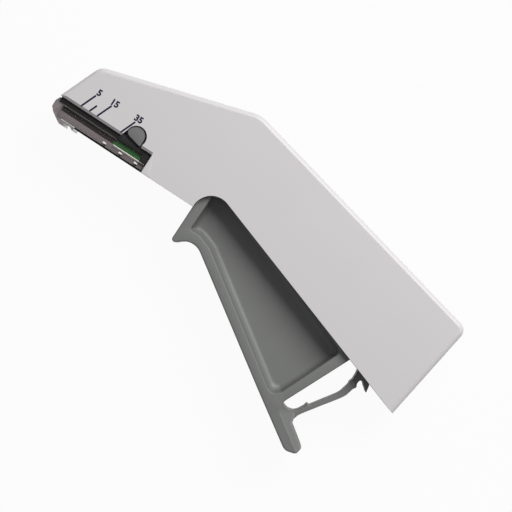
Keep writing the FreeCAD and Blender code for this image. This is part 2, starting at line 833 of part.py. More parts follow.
rivets = []
for name, up in zip(("low", "top"), RIVET_UPS):
    rivet = new_body("rivet_" + name)
    slab(rivet, "shank", "-rivet_length", "blade_thickness", circles=[((HALF, up), "rivet_radius")])
    slab(rivet, "head", "blade_thickness", "blade_thickness + rivet_head",
         circles=[((HALF, up), "rivet_head_radius")])
    stand_on_nose(rivet, BLADE_REAR)
    rivets.append(rivet)
document.recompute()
former_rivets = document.addObject("Part::Compound", "former_rivets")
former_rivets.Label = "former_rivets"
former_rivets.Links = rivets
drilled_block = document.addObject("Part::Cut", "former_carrier_drilled")
drilled_block.Base = block
drilled_block.Tool = former_rivets
block.Label = "former_carrier_solid"
drilled_block.Label = "former_carrier"

# Anvil rail: a folded steel channel. The staples ride on its two edges, and its front end is the
# anvil that they are bent round. The feed spring lies in the channel.
rail = new_body("anvil_rail")
rail_low = centred("rail_width", "-")
rail_high = centred("rail_width", "+")
ANVIL_FRONT = "blade_setback - 0.3"
RAIL = [
    leaning(ANVIL_FRONT, RAIL_TOP),
    leaning(ANVIL_FRONT, "belly_y + 2.1"),
    (leaning("blade_setback + 1.4", PLATE_TOP)[0], PLATE_TOP),
    ("window_foot_x - 0.6", PLATE_TOP),
    ("window_foot_x - 0.6", "rail_rear_y"),
    ("rail_rear_x", "rail_rear_y"),
    ("rail_rear_x", RAIL_TOP),
]
slab(rail, "channel", rail_low, rail_high, RAIL)
CHANNEL = [
    leaning("blade_setback + 0.3", "%s + 1" % RAIL_TOP),
    leaning("blade_setback + 0.3", "belly_y + 2.1"),
    (leaning("blade_setback + 1.4", PLATE_TOP)[0], "%s + rail_sheet" % PLATE_TOP),
    ("window_foot_x - 2.4", "%s + rail_sheet" % PLATE_TOP),
    ("window_foot_x", "rail_rear_y + rail_sheet / 2"),
    ("rail_rear_x - rail_sheet", "rail_rear_y + rail_sheet / 2"),
    ("rail_rear_x - rail_sheet", "%s + 1" % RAIL_TOP),
]
recess(rail, "trough", "%s + rail_sheet" % rail_low, "%s - rail_sheet" % rail_high, CHANNEL)

# Ejector: a leaf of spring steel on the channel's floor. Its free end stands up behind the anvil
# and lifts the closed staple off it.
ejector = new_body("ejector_spring")
CHANNEL_FLOOR = "%s + rail_sheet" % PLATE_TOP
EJECTOR = [
    ("ejector_rear_x", CHANNEL_FLOOR),
    ("ejector_bend_x", CHANNEL_FLOOR),
    ("ejector_tip_x", "%s + ejector_rise" % CHANNEL_FLOOR),
    ("ejector_tip_x + ejector_sheet / 2", "%s + ejector_rise + ejector_sheet" % CHANNEL_FLOOR),
    ("ejector_bend_x + ejector_sheet / 2", "%s + ejector_sheet" % CHANNEL_FLOOR),
    ("ejector_rear_x", "%s + ejector_sheet" % CHANNEL_FLOOR),
]
slab(ejector, "leaf", centred("ejector_width", "-"), centred("ejector_width", "+"), EJECTOR)

# Base plate under the cartridge
plate = new_body("base_plate")
slab(plate, "sheet", "wall + cover_side_gap + 0.1", "body_width - wall - cover_side_gap - 0.1",
     box_corners("plate_front_x", "window_foot_x - 0.3", "belly_y", PLATE_TOP))

# Clear cartridge cover: two side walls, a floor beside the rail and the rounded nose in front of
# the former, with the two small teeth under it that locate the nose on the skin.
cover = new_body("cartridge_cover")
cover_low = "wall + cover_side_gap"
cover_high = "body_width - wall - cover_side_gap"
COVER = [
    (leaning("0.35", "window_y - 0.45")[0], "window_y - 0.45"),
    ("%s - 0.55" % NOSE_FOOT_X, "window_y - 1.9"),
    ("%s - 0.55" % NOSE_FOOT_X, "belly_y + 2.3"),
    leaning("blade_setback - 0.25", "belly_y + 0.9"),
    ("plate_front_x - 5", "belly_y - 1.2"),
    ("plate_front_x - 3.4", "belly_y - 1.2"),
    ("plate_front_x - 3.85", "belly_y - 0.12"),
    ("plate_front_x - 1.4", "belly_y - 0.25"),
    ("plate_front_x - 0.3", "belly_y - 0.9"),
    ("plate_front_x", PLATE_TOP),
    ("window_foot_x - 0.6", PLATE_TOP),
    ("window_foot_x - 0.6", "belly_y + belly_wall + 0.3"),
    ("cover_rear_x", "belly_y + belly_wall + 0.3"),
    ("cover_rear_x", COVER_TOP),
    leaning("blade_setback + blade_thickness / 2 + blade_fit", COVER_TOP),
    leaning("blade_setback - blade_thickness / 2 - blade_fit", "window_y - 0.45"),
]
walls = slab(cover, "walls", cover_low, cover_high, COVER)
round_edges(cover, "nose_curve", walls, upright_edges(walls.Shape, COVER[1:4]), "nose_round")
BLADE_SLOT = [
    leaning("blade_setback - blade_thickness / 2 - blade_fit", "window_y + 1"),
    leaning("blade_setback - blade_thickness / 2 - blade_fit", "belly_y - 3"),
    leaning("blade_setback + blade_thickness / 2 + blade_fit", "belly_y - 3"),
    leaning("blade_setback + blade_thickness / 2 + blade_fit", "window_y + 1"),
]
recess(cover, "blade_slot", "%s + cover_wall" % cover_low, "%s - cover_wall" % cover_high, BLADE_SLOT)
COVER_FLOOR = "%s + cover_floor" % PLATE_TOP
TROUGH = [
    leaning("blade_setback", COVER_FLOOR),
    ("window_foot_x - 1.0", COVER_FLOOR),
    ("window_foot_x - 0.6", "belly_y + belly_wall + cover_floor + 0.3"),
    ("cover_rear_x + 1", "belly_y + belly_wall + cover_floor + 0.3"),
    ("cover_rear_x + 1", "window_y + 1"),
    leaning("blade_setback", "window_y + 1"),
]
recess(cover, "trough", "%s + cover_wall" % cover_low, "%s - cover_wall" % cover_high, TROUGH)
RAIL_GAP = [
    leaning("blade_setback - 0.6", "belly_y + 2.0"),
    (leaning("blade_setback + 1.1", "%s - 0.1" % PLATE_TOP)[0], "%s - 0.1" % PLATE_TOP),
    ("cover_rear_x + 1", "%s - 0.1" % PLATE_TOP),
    ("cover_rear_x + 1", "window_y + 1"),
    leaning("blade_setback - 0.6", "window_y + 1"),
]
recess(cover, "rail_gap", "%s - 0.1" % rail_low, "%s + 0.1" % rail_high, RAIL_GAP)

# Grey cartridge carrier: a floor across the cartridge, and two cheeks whose round bosses sit in
# the notches of the shells.
carrier = new_body("cartridge_carrier")
carrier_low = "wall + carrier_gap"
carrier_high = "body_width - wall - carrier_gap"
CARRIER_FLOOR_TOP = "%s + carrier_floor" % COVER_TOP
slab(carrier, "floor", carrier_low, carrier_high,
     box_corners("carrier_front_x", "carrier_rear_x", COVER_TOP, CARRIER_FLOOR_TOP))
CHEEK = [
    ("disk_x - disk_radius - 0.4", CARRIER_FLOOR_TOP),
    ("carrier_rear_x", CARRIER_FLOOR_TOP),
    ("carrier_rear_x", "carrier_top_y - 1.5"),
    ("carrier_rear_x - 1.5", "carrier_top_y"),
    ("disk_x - disk_radius + 0.6", "carrier_top_y"),
]
slab(carrier, "right_cheek", carrier_low, "%s + carrier_cheek" % carrier_low, CHEEK)
slab(carrier, "left_cheek", "%s - carrier_cheek" % carrier_high, carrier_high, CHEEK)
slab(carrier, "right_disk", "disk_recess", "%s + carrier_cheek" % carrier_low,
     circles=[(("disk_x", "disk_y"), "disk_radius")])
slab(carrier, "left_disk", "%s - carrier_cheek" % carrier_high, "body_width - disk_recess",
     circles=[(("disk_x", "disk_y"), "disk_radius")])

# Spring-steel strip that holds the staples down on the rail
strip = new_body("staple_hold_down")
slab(strip, "strip", centred(STAPLE_SPAN, "-"), centred(STAPLE_SPAN, "+"),
     [leaning("%s + blade_fit" % BLADE_REAR, "%s - strip_thickness" % STRIP_TOP),
      ("carrier_front_x + 2", "%s - strip_thickness" % STRIP_TOP),
      ("carrier_front_x + 2", STRIP_TOP),
      leaning("%s + blade_fit" % BLADE_REAR, STRIP_TOP)])

# Pusher: rides over the rail behind the last staple, with a tongue in the channel for the spring.
pusher = new_body("pusher")
PUSHER_FRONT = "blade_setback + %s + staple_pitch / 2 + pusher_fit" % STACK_DEPTH
PUSHER_TOP = "%s - 0.2" % STAPLE_TOP
PUSHER_REAR_X = leaning(PUSHER_FRONT, PUSHER_TOP)[0] + " + pusher_length"
PUSHER_LOW = "%s - pusher_depth" % PUSHER_TOP
slab(pusher, "body", "%s + 0.15" % centred(STAPLE_SPAN, "-"), "%s - 0.15" % centred(STAPLE_SPAN, "+"),
     [leaning(PUSHER_FRONT, PUSHER_LOW), (PUSHER_REAR_X, PUSHER_LOW), (PUSHER_REAR_X, PUSHER_TOP),
      leaning(PUSHER_FRONT, PUSHER_TOP)])
TONGUE_LOW = "%s + rail_sheet + ejector_sheet + 0.2" % PLATE_TOP
tongue_low = "%s + rail_sheet + 0.2" % rail_low
tongue_high = "%s - rail_sheet - 0.2" % rail_high
recess(pusher, "rail_groove", "%s - 0.2" % rail_low, "%s + 0.2" % rail_high,
       box_corners("carrier_front_x - 8", "carrier_rear_x + 8", "%s - 3" % RAIL_TOP, "%s + 0.15" % RAIL_TOP))
slab(pusher, "tongue", tongue_low, tongue_high,
     [leaning(PUSHER_FRONT + " + tongue_setback", TONGUE_LOW), (PUSHER_REAR_X, TONGUE_LOW),
      (PUSHER_REAR_X, "%s + 0.15" % RAIL_TOP),
      leaning(PUSHER_FRONT + " + tongue_setback", "%s + 0.15" % RAIL_TOP)])

# Guide rod and feed spring behind the pusher, in the rail's channel
SPRING_Y = "rail_rear_y + rail_sheet / 2 + spring_radius + spring_wire / 2 + 0.1"


def along_track(label, radius, start_x, length):
    """A round bar along the track at the feed spring's height."""
    bar = document.addObject("Part::Cylinder", label)
    bar.Label = label
    bar.Placement = FreeCAD.Placement(FreeCAD.Vector(), FreeCAD.Rotation(FreeCAD.Vector(0, 1, 0), 90))
    bar.setExpression("Radius", bind(radius))
    bar.setExpression("Height", bind(length))
    bar.setExpression("Placement.Base.x", bind(start_x))
    bar.setExpression("Placement.Base.y", bind(SPRING_Y))
    bar.setExpression("Placement.Base.z", bind(HALF))
    return bar


rod_start = "rail_rear_x - rail_sheet - guide_rod_length"
along_track("spring_guide_rod", "guide_rod_radius", rod_start, "guide_rod_length")
bore = along_track("pusher_bore", "guide_rod_radius + 0.12", "%s - 3" % rod_start, "6")
bored_pusher = document.addObject("Part::Cut", "pusher_bored")
bored_pusher.Base = pusher
bored_pusher.Tool = bore
pusher.Label = "pusher_solid"
bored_pusher.Label = "pusher"
document.recompute()


def coil(radius, wire, turns, start_x, end_x, y, z):
    """A coil spring of square wire along X."""
    length = end_x - start_x - wire
    helix = Part.makeHelix(length / turns, length, radius)
    corner = wire / 2
    square = ((-1, -1), (1, -1), (1, 1), (-1, 1), (-1, -1))
    points = [FreeCAD.Vector(radius + a * corner, 0, b * corner) for a, b in square]
    spring = Part.Wire(helix).makePipeShell([Part.makePolygon(points)], True, True)
    spring.rotate(FreeCAD.Vector(), FreeCAD.Vector(0, 1, 0), 90)
    spring.translate(FreeCAD.Vector(start_x + corner, y, z))
    return spring


feed_spring = document.addObject("Part::Feature", "feed_spring")
feed_spring.Label = "feed_spring"
feed_spring.Shape = coil(value("spring_radius"), value("spring_wire"), value("spring_turns"),
                         value(PUSHER_REAR_X), value("rail_rear_x - rail_sheet"), value(SPRING_Y), value(HALF))

# Staples: U-shaped wires standing side by side on the rail, parallel to the nose's front face
staple = new_body("one_staple")
leg_foot = "-staple_leg"
leg_left = centred(STAPLE_SPAN, "-")
leg_right = centred(STAPLE_SPAN, "+")
slab(staple, "wire", "-staple_wire / 2", "staple_wire / 2", [
    (leg_left, leg_foot),
    (leg_left + " + staple_wire", leg_foot),
    (leg_left + " + staple_wire", "-staple_wire"),
    (leg_right + " - staple_wire", "-staple_wire"),
    (leg_right + " - staple_wire", leg_foot),
    (leg_right, leg_foot),
    (leg_right, "0"),
    (leg_left, "0"),
])
stand_on_nose(staple, "blade_setback")
document.recompute()
staples = document.addObject("Part::Feature", "staples")
staples.Label = "staples"
lean = math.radians(value("nose_lean"))
drop = value(STAPLE_TOP) - value("window_y")
step = value("staple_pitch") / math.sin(lean)
copies = []
for index in range(int(value("staple_count"))):
    copy = staple.Shape.copy()
    copy.translate(FreeCAD.Vector(drop / math.tan(lean) + index * step, drop, 0))
    copies.append(copy)
staples.Shape = Part.makeCompound(copies)

document.recompute()

NODES = [
    "housing_right",
    "housing_left",
    "trigger",
    "trigger_spring_arm",
    "trigger_pivot_pin",
    "lever_pivot_pin",
    "drive_lever",
    "former_carrier",
    "former_blade",
    "former_rivets",
    "anvil_rail",
    "ejector_spring",
    "base_plate",
    "cartridge_cover",
    "cartridge_carrier",
    "staple_hold_down",
    "staples",
    "pusher",
    "spring_guide_rod",
    "feed_spring",
]

for item in document.Objects:
    for state in ("Invalid", "Error"):
        if state in item.State:
            raise RuntimeError("%s is %s" % (item.Label, state))
os.makedirs("parts", exist_ok=True)
for label in NODES:
    shape = document.getObjectsByLabel(label)[0].Shape
    if shape.isNull() or not shape.isValid():
        raise RuntimeError("%s has no valid shape" % label)
    shape.exportStep("parts/%s.step" % label)
    print(label, len(shape.Solids), round(shape.Volume, 2))
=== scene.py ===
import math

import bmesh
import bpy
import numpy as np
from mathutils import Matrix, Vector
from mathutils.geometry import delaunay_2d_cdt


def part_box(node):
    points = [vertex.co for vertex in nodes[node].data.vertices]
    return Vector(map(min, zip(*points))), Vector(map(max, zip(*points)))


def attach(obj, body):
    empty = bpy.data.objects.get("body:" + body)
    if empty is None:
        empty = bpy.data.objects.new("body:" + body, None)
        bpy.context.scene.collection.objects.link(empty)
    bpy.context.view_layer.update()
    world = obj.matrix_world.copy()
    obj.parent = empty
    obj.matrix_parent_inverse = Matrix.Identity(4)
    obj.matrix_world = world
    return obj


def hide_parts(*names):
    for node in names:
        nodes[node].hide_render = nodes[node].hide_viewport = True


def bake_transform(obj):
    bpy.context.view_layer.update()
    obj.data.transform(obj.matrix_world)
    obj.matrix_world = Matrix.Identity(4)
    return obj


# A disposable skin stapler that lies on its right side and shows its left side.
# Lengths are metres in the part's own frame: +X along the staple track to the rear, +Y up in
# use, +Z out of the left side, with the trigger's pivot axis at X = Y = 0.
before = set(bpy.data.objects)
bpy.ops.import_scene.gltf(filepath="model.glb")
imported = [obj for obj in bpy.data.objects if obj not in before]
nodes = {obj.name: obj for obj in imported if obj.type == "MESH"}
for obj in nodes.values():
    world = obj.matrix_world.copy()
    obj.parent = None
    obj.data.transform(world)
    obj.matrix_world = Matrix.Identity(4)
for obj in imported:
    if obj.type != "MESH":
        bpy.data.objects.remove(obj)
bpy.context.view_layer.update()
MM = 0.001

# Housing: two shells of warm white ABS, moulded with a satin skin and pegged together at
# mid-width. The head, the back and the rear end carry a moulded radius, and the edges of the
# window and the underside are only just broken.
HOUSING_WHITE = (0.64, 0.617, 0.624)
HOUSING_EDGE = 0.18 * MM
LEFT_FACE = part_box("housing_left")[1].z
MID = LEFT_FACE / 2


def add_socket(group, name, way, kind, value=None):
    """One named input or output of a shader group, with its value where it has one."""
    item = group.interface.new_socket(name=name, in_out=way, socket_type=kind)
    if value is not None:
        item.default_value = value


def make_moulded_skin():
    """Shader group for moulded plastic: a fine spark-eroded grain for the relief and the gloss,
    and a slow cloud of tone where the melt flowed, as a share of the written colour."""
    group = bpy.data.node_groups.new("moulded_skin", "ShaderNodeTree")
    add_socket(group, "Vector", "INPUT", "NodeSocketVector")
    add_socket(group, "Colour", "INPUT", "NodeSocketColor", (0.5, 0.5, 0.5, 1))
    add_socket(group, "Grains per metre", "INPUT", "NodeSocketFloat", 2500)
    add_socket(group, "Tone drift", "INPUT", "NodeSocketFloat", 0.05)
    add_socket(group, "Gloss spread", "INPUT", "NodeSocketFloat", 0.1)
    add_socket(group, "Roughness", "INPUT", "NodeSocketFloat", 0.4)
    add_socket(group, "Colour", "OUTPUT", "NodeSocketColor")
    add_socket(group, "Roughness", "OUTPUT", "NodeSocketFloat")
    add_socket(group, "Height", "OUTPUT", "NodeSocketFloat")
    link, add = group.links.new, group.nodes.new
    given, result = add("NodeGroupInput"), add("NodeGroupOutput")
    grain, cloud = add("ShaderNodeTexNoise"), add("ShaderNodeTexNoise")
    grain.inputs["Detail"].default_value = 3
    cloud.inputs["Scale"].default_value = 45
    cloud.inputs["Detail"].default_value = 3
    link(given.outputs["Vector"], grain.inputs["Vector"])
    link(given.outputs["Grains per metre"], grain.inputs["Scale"])
    link(given.outputs["Vector"], cloud.inputs["Vector"])
    even, share, gloss = (add("ShaderNodeMath") for _ in range(3))
    even.operation = "SUBTRACT"
    even.inputs[1].default_value = 0.5
    link(cloud.outputs["Fac"], even.inputs[0])
    share.operation = gloss.operation = "MULTIPLY_ADD"
    share.inputs[2].default_value = 1
    link(even.outputs[0], share.inputs[0])
    link(given.outputs["Tone drift"], share.inputs[1])
    tone = add("ShaderNodeVectorMath")
    tone.operation = "SCALE"
    link(given.outputs["Colour"], tone.inputs[0])
    link(share.outputs[0], tone.inputs["Scale"])
    link(grain.outputs["Fac"], gloss.inputs[0])
    link(given.outputs["Gloss spread"], gloss.inputs[1])
    link(given.outputs["Roughness"], gloss.inputs[2])
    link(tone.outputs["Vector"], result.inputs["Colour"])
    link(gloss.outputs[0], result.inputs["Roughness"])
    link(grain.outputs["Fac"], result.inputs["Height"])
    return group


moulded_skin = make_moulded_skin()


def plastic(name, colour, roughness, grains=2500, drift=0.06, relief=0.004 * MM):
    """A moulded plastic on the shared skin, with its own colour, gloss and depth of grain."""
    material = bpy.data.materials.new(name)
    material.use_nodes = True
    tree = material.node_tree
    shader = tree.nodes["Principled BSDF"]
    place = tree.nodes.new("ShaderNodeTexCoord")
    skin = tree.nodes.new("ShaderNodeGroup")
    skin.node_tree = moulded_skin
    skin.inputs["Colour"].default_value = (*colour, 1)
    skin.inputs["Grains per metre"].default_value = grains
    skin.inputs["Tone drift"].default_value = drift
    skin.inputs["Roughness"].default_value = roughness
    bump = tree.nodes.new("ShaderNodeBump")
    bump.inputs["Distance"].default_value = relief
    tree.links.new(place.outputs["Object"], skin.inputs["Vector"])
    tree.links.new(skin.outputs["Colour"], shader.inputs["Base Color"])
    tree.links.new(skin.outputs["Roughness"], shader.inputs["Roughness"])
    tree.links.new(skin.outputs["Height"], bump.inputs["Height"])
    tree.links.new(bump.outputs["Normal"], shader.inputs["Normal"])
    return material


def hang(piece, body, slot, material, *stands_for):
    """Put a finished piece into the scene: it rides on its body and may stand for solids."""
    bpy.context.scene.collection.objects.link(piece)
    piece.data.materials.clear()
    piece.data.materials.append(material)
    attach(piece, body)
    if stands_for:
        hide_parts(*stands_for)
    return piece


def even_faces(piece):
    """Normals weighted by face area, baked in, so that a flat face stays even up to its edges."""
    bpy.context.scene.collection.objects.link(piece)
    weigh = piece.modifiers.new("weigh", "WEIGHTED_NORMAL")
    weigh.keep_sharp = True
    weigh.weight = 100
    graph = bpy.context.evaluated_depsgraph_get()
    weighed = piece.evaluated_get(graph)
    mesh = bpy.data.meshes.new_from_object(weighed, preserve_all_data_layers=True, depsgraph=graph)
    mesh.name = piece.name
    piece.modifiers.clear()
    piece.data = mesh
    bpy.context.scene.collection.objects.unlink(piece)
    return piece


def broken_edges(node, radius, body, slot, material, crease=30):
    """A copy of a fixed solid, welded, with flat faces made whole and every sharp edge given a
    small radius. Edges that turn by less than the crease angle are left to smooth shading."""
    mesh = nodes[node].data.copy()
    mesh.name = node + "_finished"
    work = bmesh.new()
    work.from_mesh(mesh)
    bmesh.ops.remove_doubles(work, verts=work.verts, dist=0.002 * MM)
    bmesh.ops.dissolve_limit(work, angle_limit=math.radians(0.6), verts=work.verts, edges=work.edges)
    sharp = [e for e in work.edges if len(e.link_faces) == 2 and e.calc_face_angle(0) > math.radians(crease)]
    bmesh.ops.bevel(work, geom=sharp, offset=radius, offset_type="OFFSET", segments=3, profile=0.5,
                    affect="EDGES", clamp_overlap=True)
    bmesh.ops.remove_doubles(work, verts=work.verts, dist=0.001 * MM)
    work.to_mesh(mesh)
    work.free()
    mesh.shade_smooth()
    mesh.set_sharp_from_angle(angle=math.radians(crease))
    return hang(even_faces(bpy.data.objects.new(node + "_finished", mesh)), body, slot, material, node)


housing_skin = plastic("warm_white_abs", HOUSING_WHITE, 0.36, grains=2200, drift=0.035, relief=0.0015 * MM)
for side in ("right", "left"):
    broken_edges("housing_" + side, HOUSING_EDGE, "housing", "housing", housing_skin)

# Printed scale: dark blue pad print on the left shell, four ticks and three plain numbers that
# tell how many staples are left. The ticks lean with the staples that they stand over.
INK_BLUE = (0.002, 0.002, 0.028)
INK_LIFT = 0.012 * MM
TICK_LEAN = math.radians(67.9)
TICK_WIDTH = 0.58 * MM
TICKS = {
    "five": ((-39.5, -4.3), 5.1),
    "ten": ((-36.5, -4.2), 2.35),
    "fifteen": ((-33.7, -4.24), 5.0),
    "thirty_five": ((-24.9, -4.4), 5.0),
}
NUMBER_HEIGHT = 2.4 * MM
NUMBER_WEIGHT = 0.045
NUMBERS = {"5": (-37.0, 1.85), "15": (-31.3, 1.75), "35": (-22.5, 1.7)}
ink = plastic("blue_pad_print", INK_BLUE, 0.3, drift=0.2, relief=0.001 * MM)


def mesh_piece(name, points, faces):
    """An object from an array of points and a list of faces, smooth where it turns gently."""
    mesh = bpy.data.meshes.new(name)
    mesh.from_pydata(np.asarray(points, float).tolist(), [], faces)
    mesh.validate()
    mesh.shade_smooth()
    mesh.set_sharp_from_angle(angle=math.radians(40))
    return bpy.data.objects.new(name, mesh)


def tick_outline(foot, length, count=32):
    """A slot shape: half circles about the two ends of a line that leans with the staples."""
    turn = np.linspace(0, 2 * math.pi, count, endpoint=False)
    along = np.where(np.cos(turn) > 0, length, 0) + TICK_WIDTH / 2 * np.cos(turn)
    across = TICK_WIDTH / 2 * np.sin(turn)
    lean = np.array([math.cos(TICK_LEAN), math.sin(TICK_LEAN)])
    side = np.array([-lean[1], lean[0]])
    return np.array(foot) * MM + along[:, None] * lean + across[:, None] * side


for name, (foot, length) in TICKS.items():
    outline = tick_outline(foot, length * MM)
    count = len(outline)
    stroke = np.vstack([np.column_stack([outline, np.full(count, LEFT_FACE + lift)])
                        for lift in (-INK_LIFT, INK_LIFT)])
    ring = np.arange(count)
    walls = np.column_stack([ring, np.roll(ring, -1), np.roll(ring, -1) + count, ring + count])
    faces = walls.tolist() + [ring[::-1].tolist(), (ring + count).tolist()]
    hang(mesh_piece("tick_" + name, stroke, faces), "housing", "housing", ink)
for text, (x, y) in NUMBERS.items():
    letters = bpy.data.curves.new("number_" + text, "FONT")
    letters.body = text
    letters.align_x, letters.align_y = "CENTER", "CENTER"
    letters.offset = NUMBER_WEIGHT
    letters.resolution_u = 4
    holder = bpy.data.objects.new("number_" + text, letters)
    bpy.context.scene.collection.objects.link(holder)
    flat = bpy.data.meshes.new_from_object(holder.evaluated_get(bpy.context.evaluated_depsgraph_get()))
    bpy.data.objects.remove(holder)
    size = NUMBER_HEIGHT / max(corner.co.y for corner in flat.vertices) / 2
    place = Matrix.Translation((x * MM, y * MM, LEFT_FACE + INK_LIFT)) @ Matrix.Scale(size, 4)
    flat.transform(place)
    hang(bpy.data.objects.new("scale_number_" + text, flat), "housing", "housing", ink)

# Trigger: one grey moulding with a deep pocket in each side. A rim stands round the pocket, its
# inner edge rounded, and the wall falls steeply and eases into the web. The tail's rear edge is
# bevelled down to the width of the spring arm that grows out of it.
TRIGGER_GREY = (0.175, 0.18, 0.174)
TRIGGER_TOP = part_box("trigger")[1].z
WEB_TOP = MID + 1.5 * MM
RIM_ROUND = 0.5 * MM
LEDGE_ROUND = 0.3 * MM
WALL_FILLET = 2.4 * MM
WALL_DRAFT = 0.12
OUTLINE = [
    (6.0, -2.0, 0.05), (5.94, -25.2, 1.0), (12.0, -19.8, 5.6), (53.87, -47.98, 30), (70.9, -59.17, 3.0),
    (74.6, -58.2, 1.6), (75.1, -55.63, 1.2), (68.4, -50.85, 1.2), (68.0, -48.4, 0.4),
    (66.9, -47.5, 0.3), (65.0, -48.05, 1.6), (62.3, -47.4, 1.0), (63.0, -45.6, 1.0), (73.1, -23.4, 0.05),
]
LEDGE = [
    (9.35, -1.0, 0.05), (9.15, -17.95, 0.7), (12.6, -17.9, 3.5), (17.5, -19.6, 6.0),
    (57.6, -46.9, 2.4), (60.3, -44.6, 1.2), (69.0, -24.2, 1.5),
]
WALL_WIDTHS = (2.3, 2.3, 2.5, 2.6, 2.1, 2.1, 2.4)
FACET_LINES = [
    ((62.3, -47.3), (63.1, -50.1)), ((63.1, -50.1), (64.9, -51.45)), ((64.9, -51.45), (74.4, -57.7)),
]
FACET_TOP = -47.35 * MM
FACET_EASE = 0.2 * MM
FACET_LOW = 3.75 * MM


def rounded_loop(corners, steps=8):
    """A closed outline whose corners are arcs. An arc touches both sides at the distance
    radius / tan(half the corner's angle) from the corner."""
    table = np.array(corners)
    corner, radius = table[:, :2] * MM, table[:, 2] * MM
    back = np.roll(corner, 1, axis=0) - corner
    ahead = np.roll(corner, -1, axis=0) - corner
    back /= np.linalg.norm(back, axis=1)[:, None]
    ahead /= np.linalg.norm(ahead, axis=1)[:, None]
    half = np.arccos(np.clip((back * ahead).sum(1), -1, 1)) / 2
    middle = back + ahead
    middle /= np.linalg.norm(middle, axis=1)[:, None]
    centre = corner + middle * (radius / np.sin(half))[:, None]
    first = corner + back * (radius / np.tan(half))[:, None] - centre
    last = corner + ahead * (radius / np.tan(half))[:, None] - centre
    start = np.arctan2(first[:, 1], first[:, 0])
    sweep = (np.arctan2(last[:, 1], last[:, 0]) - start + math.pi) % (2 * math.pi) - math.pi
    angle = start[:, None] + sweep[:, None] * np.linspace(0, 1, steps)
    arcs = centre[:, None] + radius[:, None, None] * np.stack([np.cos(angle), np.sin(angle)], axis=2)
    return arcs.reshape(-1, 2)


def even_loop(loop, spacing):
    """The same closed outline with points at an even spacing along it."""
    closed = np.vstack([loop, loop[:1]])
    reach = np.concatenate([[0], np.cumsum(np.linalg.norm(np.diff(closed, axis=0), axis=1))])
    count = int(reach[-1] / spacing)
    where = np.linspace(0, reach[-1], count, endpoint=False)
    return np.column_stack([np.interp(where, reach, closed[:, 0]), np.interp(where, reach, closed[:, 1])])


def inwards(loop):
    """Unit normals that point into a closed counter-clockwise outline."""
    along = np.roll(loop, -1, axis=0) - np.roll(loop, 1, axis=0)
    along /= np.linalg.norm(along, axis=1)[:, None]
    return np.column_stack([-along[:, 1], along[:, 0]])


def counter_clockwise(loop):
    """The outline, turned round where its signed area is negative."""
    x, y = loop.T
    area = (x * np.roll(y, -1) - np.roll(x, -1) * y).sum()
    return loop if area > 0 else loop[::-1]


def inset_corners(corners, widths):
    """Corners of an outline whose sides are moved inwards, each by its own width: every new corner
    is where two neighbouring moved sides cross."""
    table = np.array(corners)
    point = table[:, :2]
    along = np.roll(point, -1, axis=0) - point
    along /= np.linalg.norm(along, axis=1)[:, None]
    x, y = point.T
    turn = np.sign((x * np.roll(y, -1) - np.roll(x, -1) * y).sum())
    normal = np.column_stack([-along[:, 1], along[:, 0]]) * turn
    moved = (point * normal).sum(1) + np.array(widths)
    before, level = np.roll(normal, 1, axis=0), np.roll(moved, 1)
    cross = before[:, 0] * normal[:, 1] - before[:, 1] * normal[:, 0]
    new_x = (level * normal[:, 1] - moved * before[:, 1]) / cross
    new_y = (before[:, 0] * moved - normal[:, 0] * level) / cross
    return np.column_stack([new_x, new_y, table[:, 2] + 0.6])


def inside(points, loop):
    """Which points lie in a closed outline: a ray to the right crosses its sides an odd number of
    times."""
    x, y = points[:, 0][:, None], points[:, 1][:, None]
    x1, y1 = loop[:, 0][None], loop[:, 1][None]
    x2, y2 = np.roll(loop[:, 0], -1)[None], np.roll(loop[:, 1], -1)[None]
    rise = np.where(y2 == y1, 1e-12, y2 - y1)
    crosses = ((y1 > y) != (y2 > y)) & (x < (x2 - x1) * (y - y1) / rise + x1)
    return crosses.sum(1) % 2 == 1


def flat_cap(outline, hole=None, extra=None):
    """Triangles that fill an outline, less a hole, through extra points where the face bends."""
    loops = [outline] + ([hole] if hole is not None else [])
    sides, start = [], 0
    for loop in loops:
        ring = np.arange(len(loop)) + start
        sides.append(np.column_stack([ring, np.roll(ring, -1)]))
        start += len(loop)
    points = np.vstack(loops + ([extra] if extra is not None and len(extra) else []))
    found = delaunay_2d_cdt([Vector(p) for p in points.tolist()], np.vstack(sides).tolist(), [], 0, 1e-9)
    corners = np.array([tuple(v) for v in found[0]])
    triangles = np.array(found[2])
    middle = corners[triangles].mean(1)
    keep = inside(middle, outline)
    if hole is not None:
        keep &= ~inside(middle, hole)
    return corners, triangles[keep]


def joined_rings(rings):
    """Points and quads of a surface that runs through rings of equal length."""
    count = len(rings[0])
    points = np.vstack(rings)
    row, place = np.meshgrid(np.arange(len(rings) - 1), np.arange(count), indexing="ij")
    after = (place + 1) % count
    quads = np.stack([row * count + place, row * count + after,
                      (row + 1) * count + after, (row + 1) * count + place], axis=2)
    return points, quads.reshape(-1, 4)


def raised(loop, height):
    """A flat outline lifted to a height, one number or one for each point."""
    return np.column_stack([loop, np.broadcast_to(height, len(loop))])


def gather(parts):
    """One list of points and faces from several, with the faces renumbered."""
    points, faces, start = [], [], 0
    for some_points, some_faces in parts:
        points.append(some_points)
        faces += (np.asarray(some_faces) + start).tolist()
        start += len(some_points)
    return np.vstack(points), faces


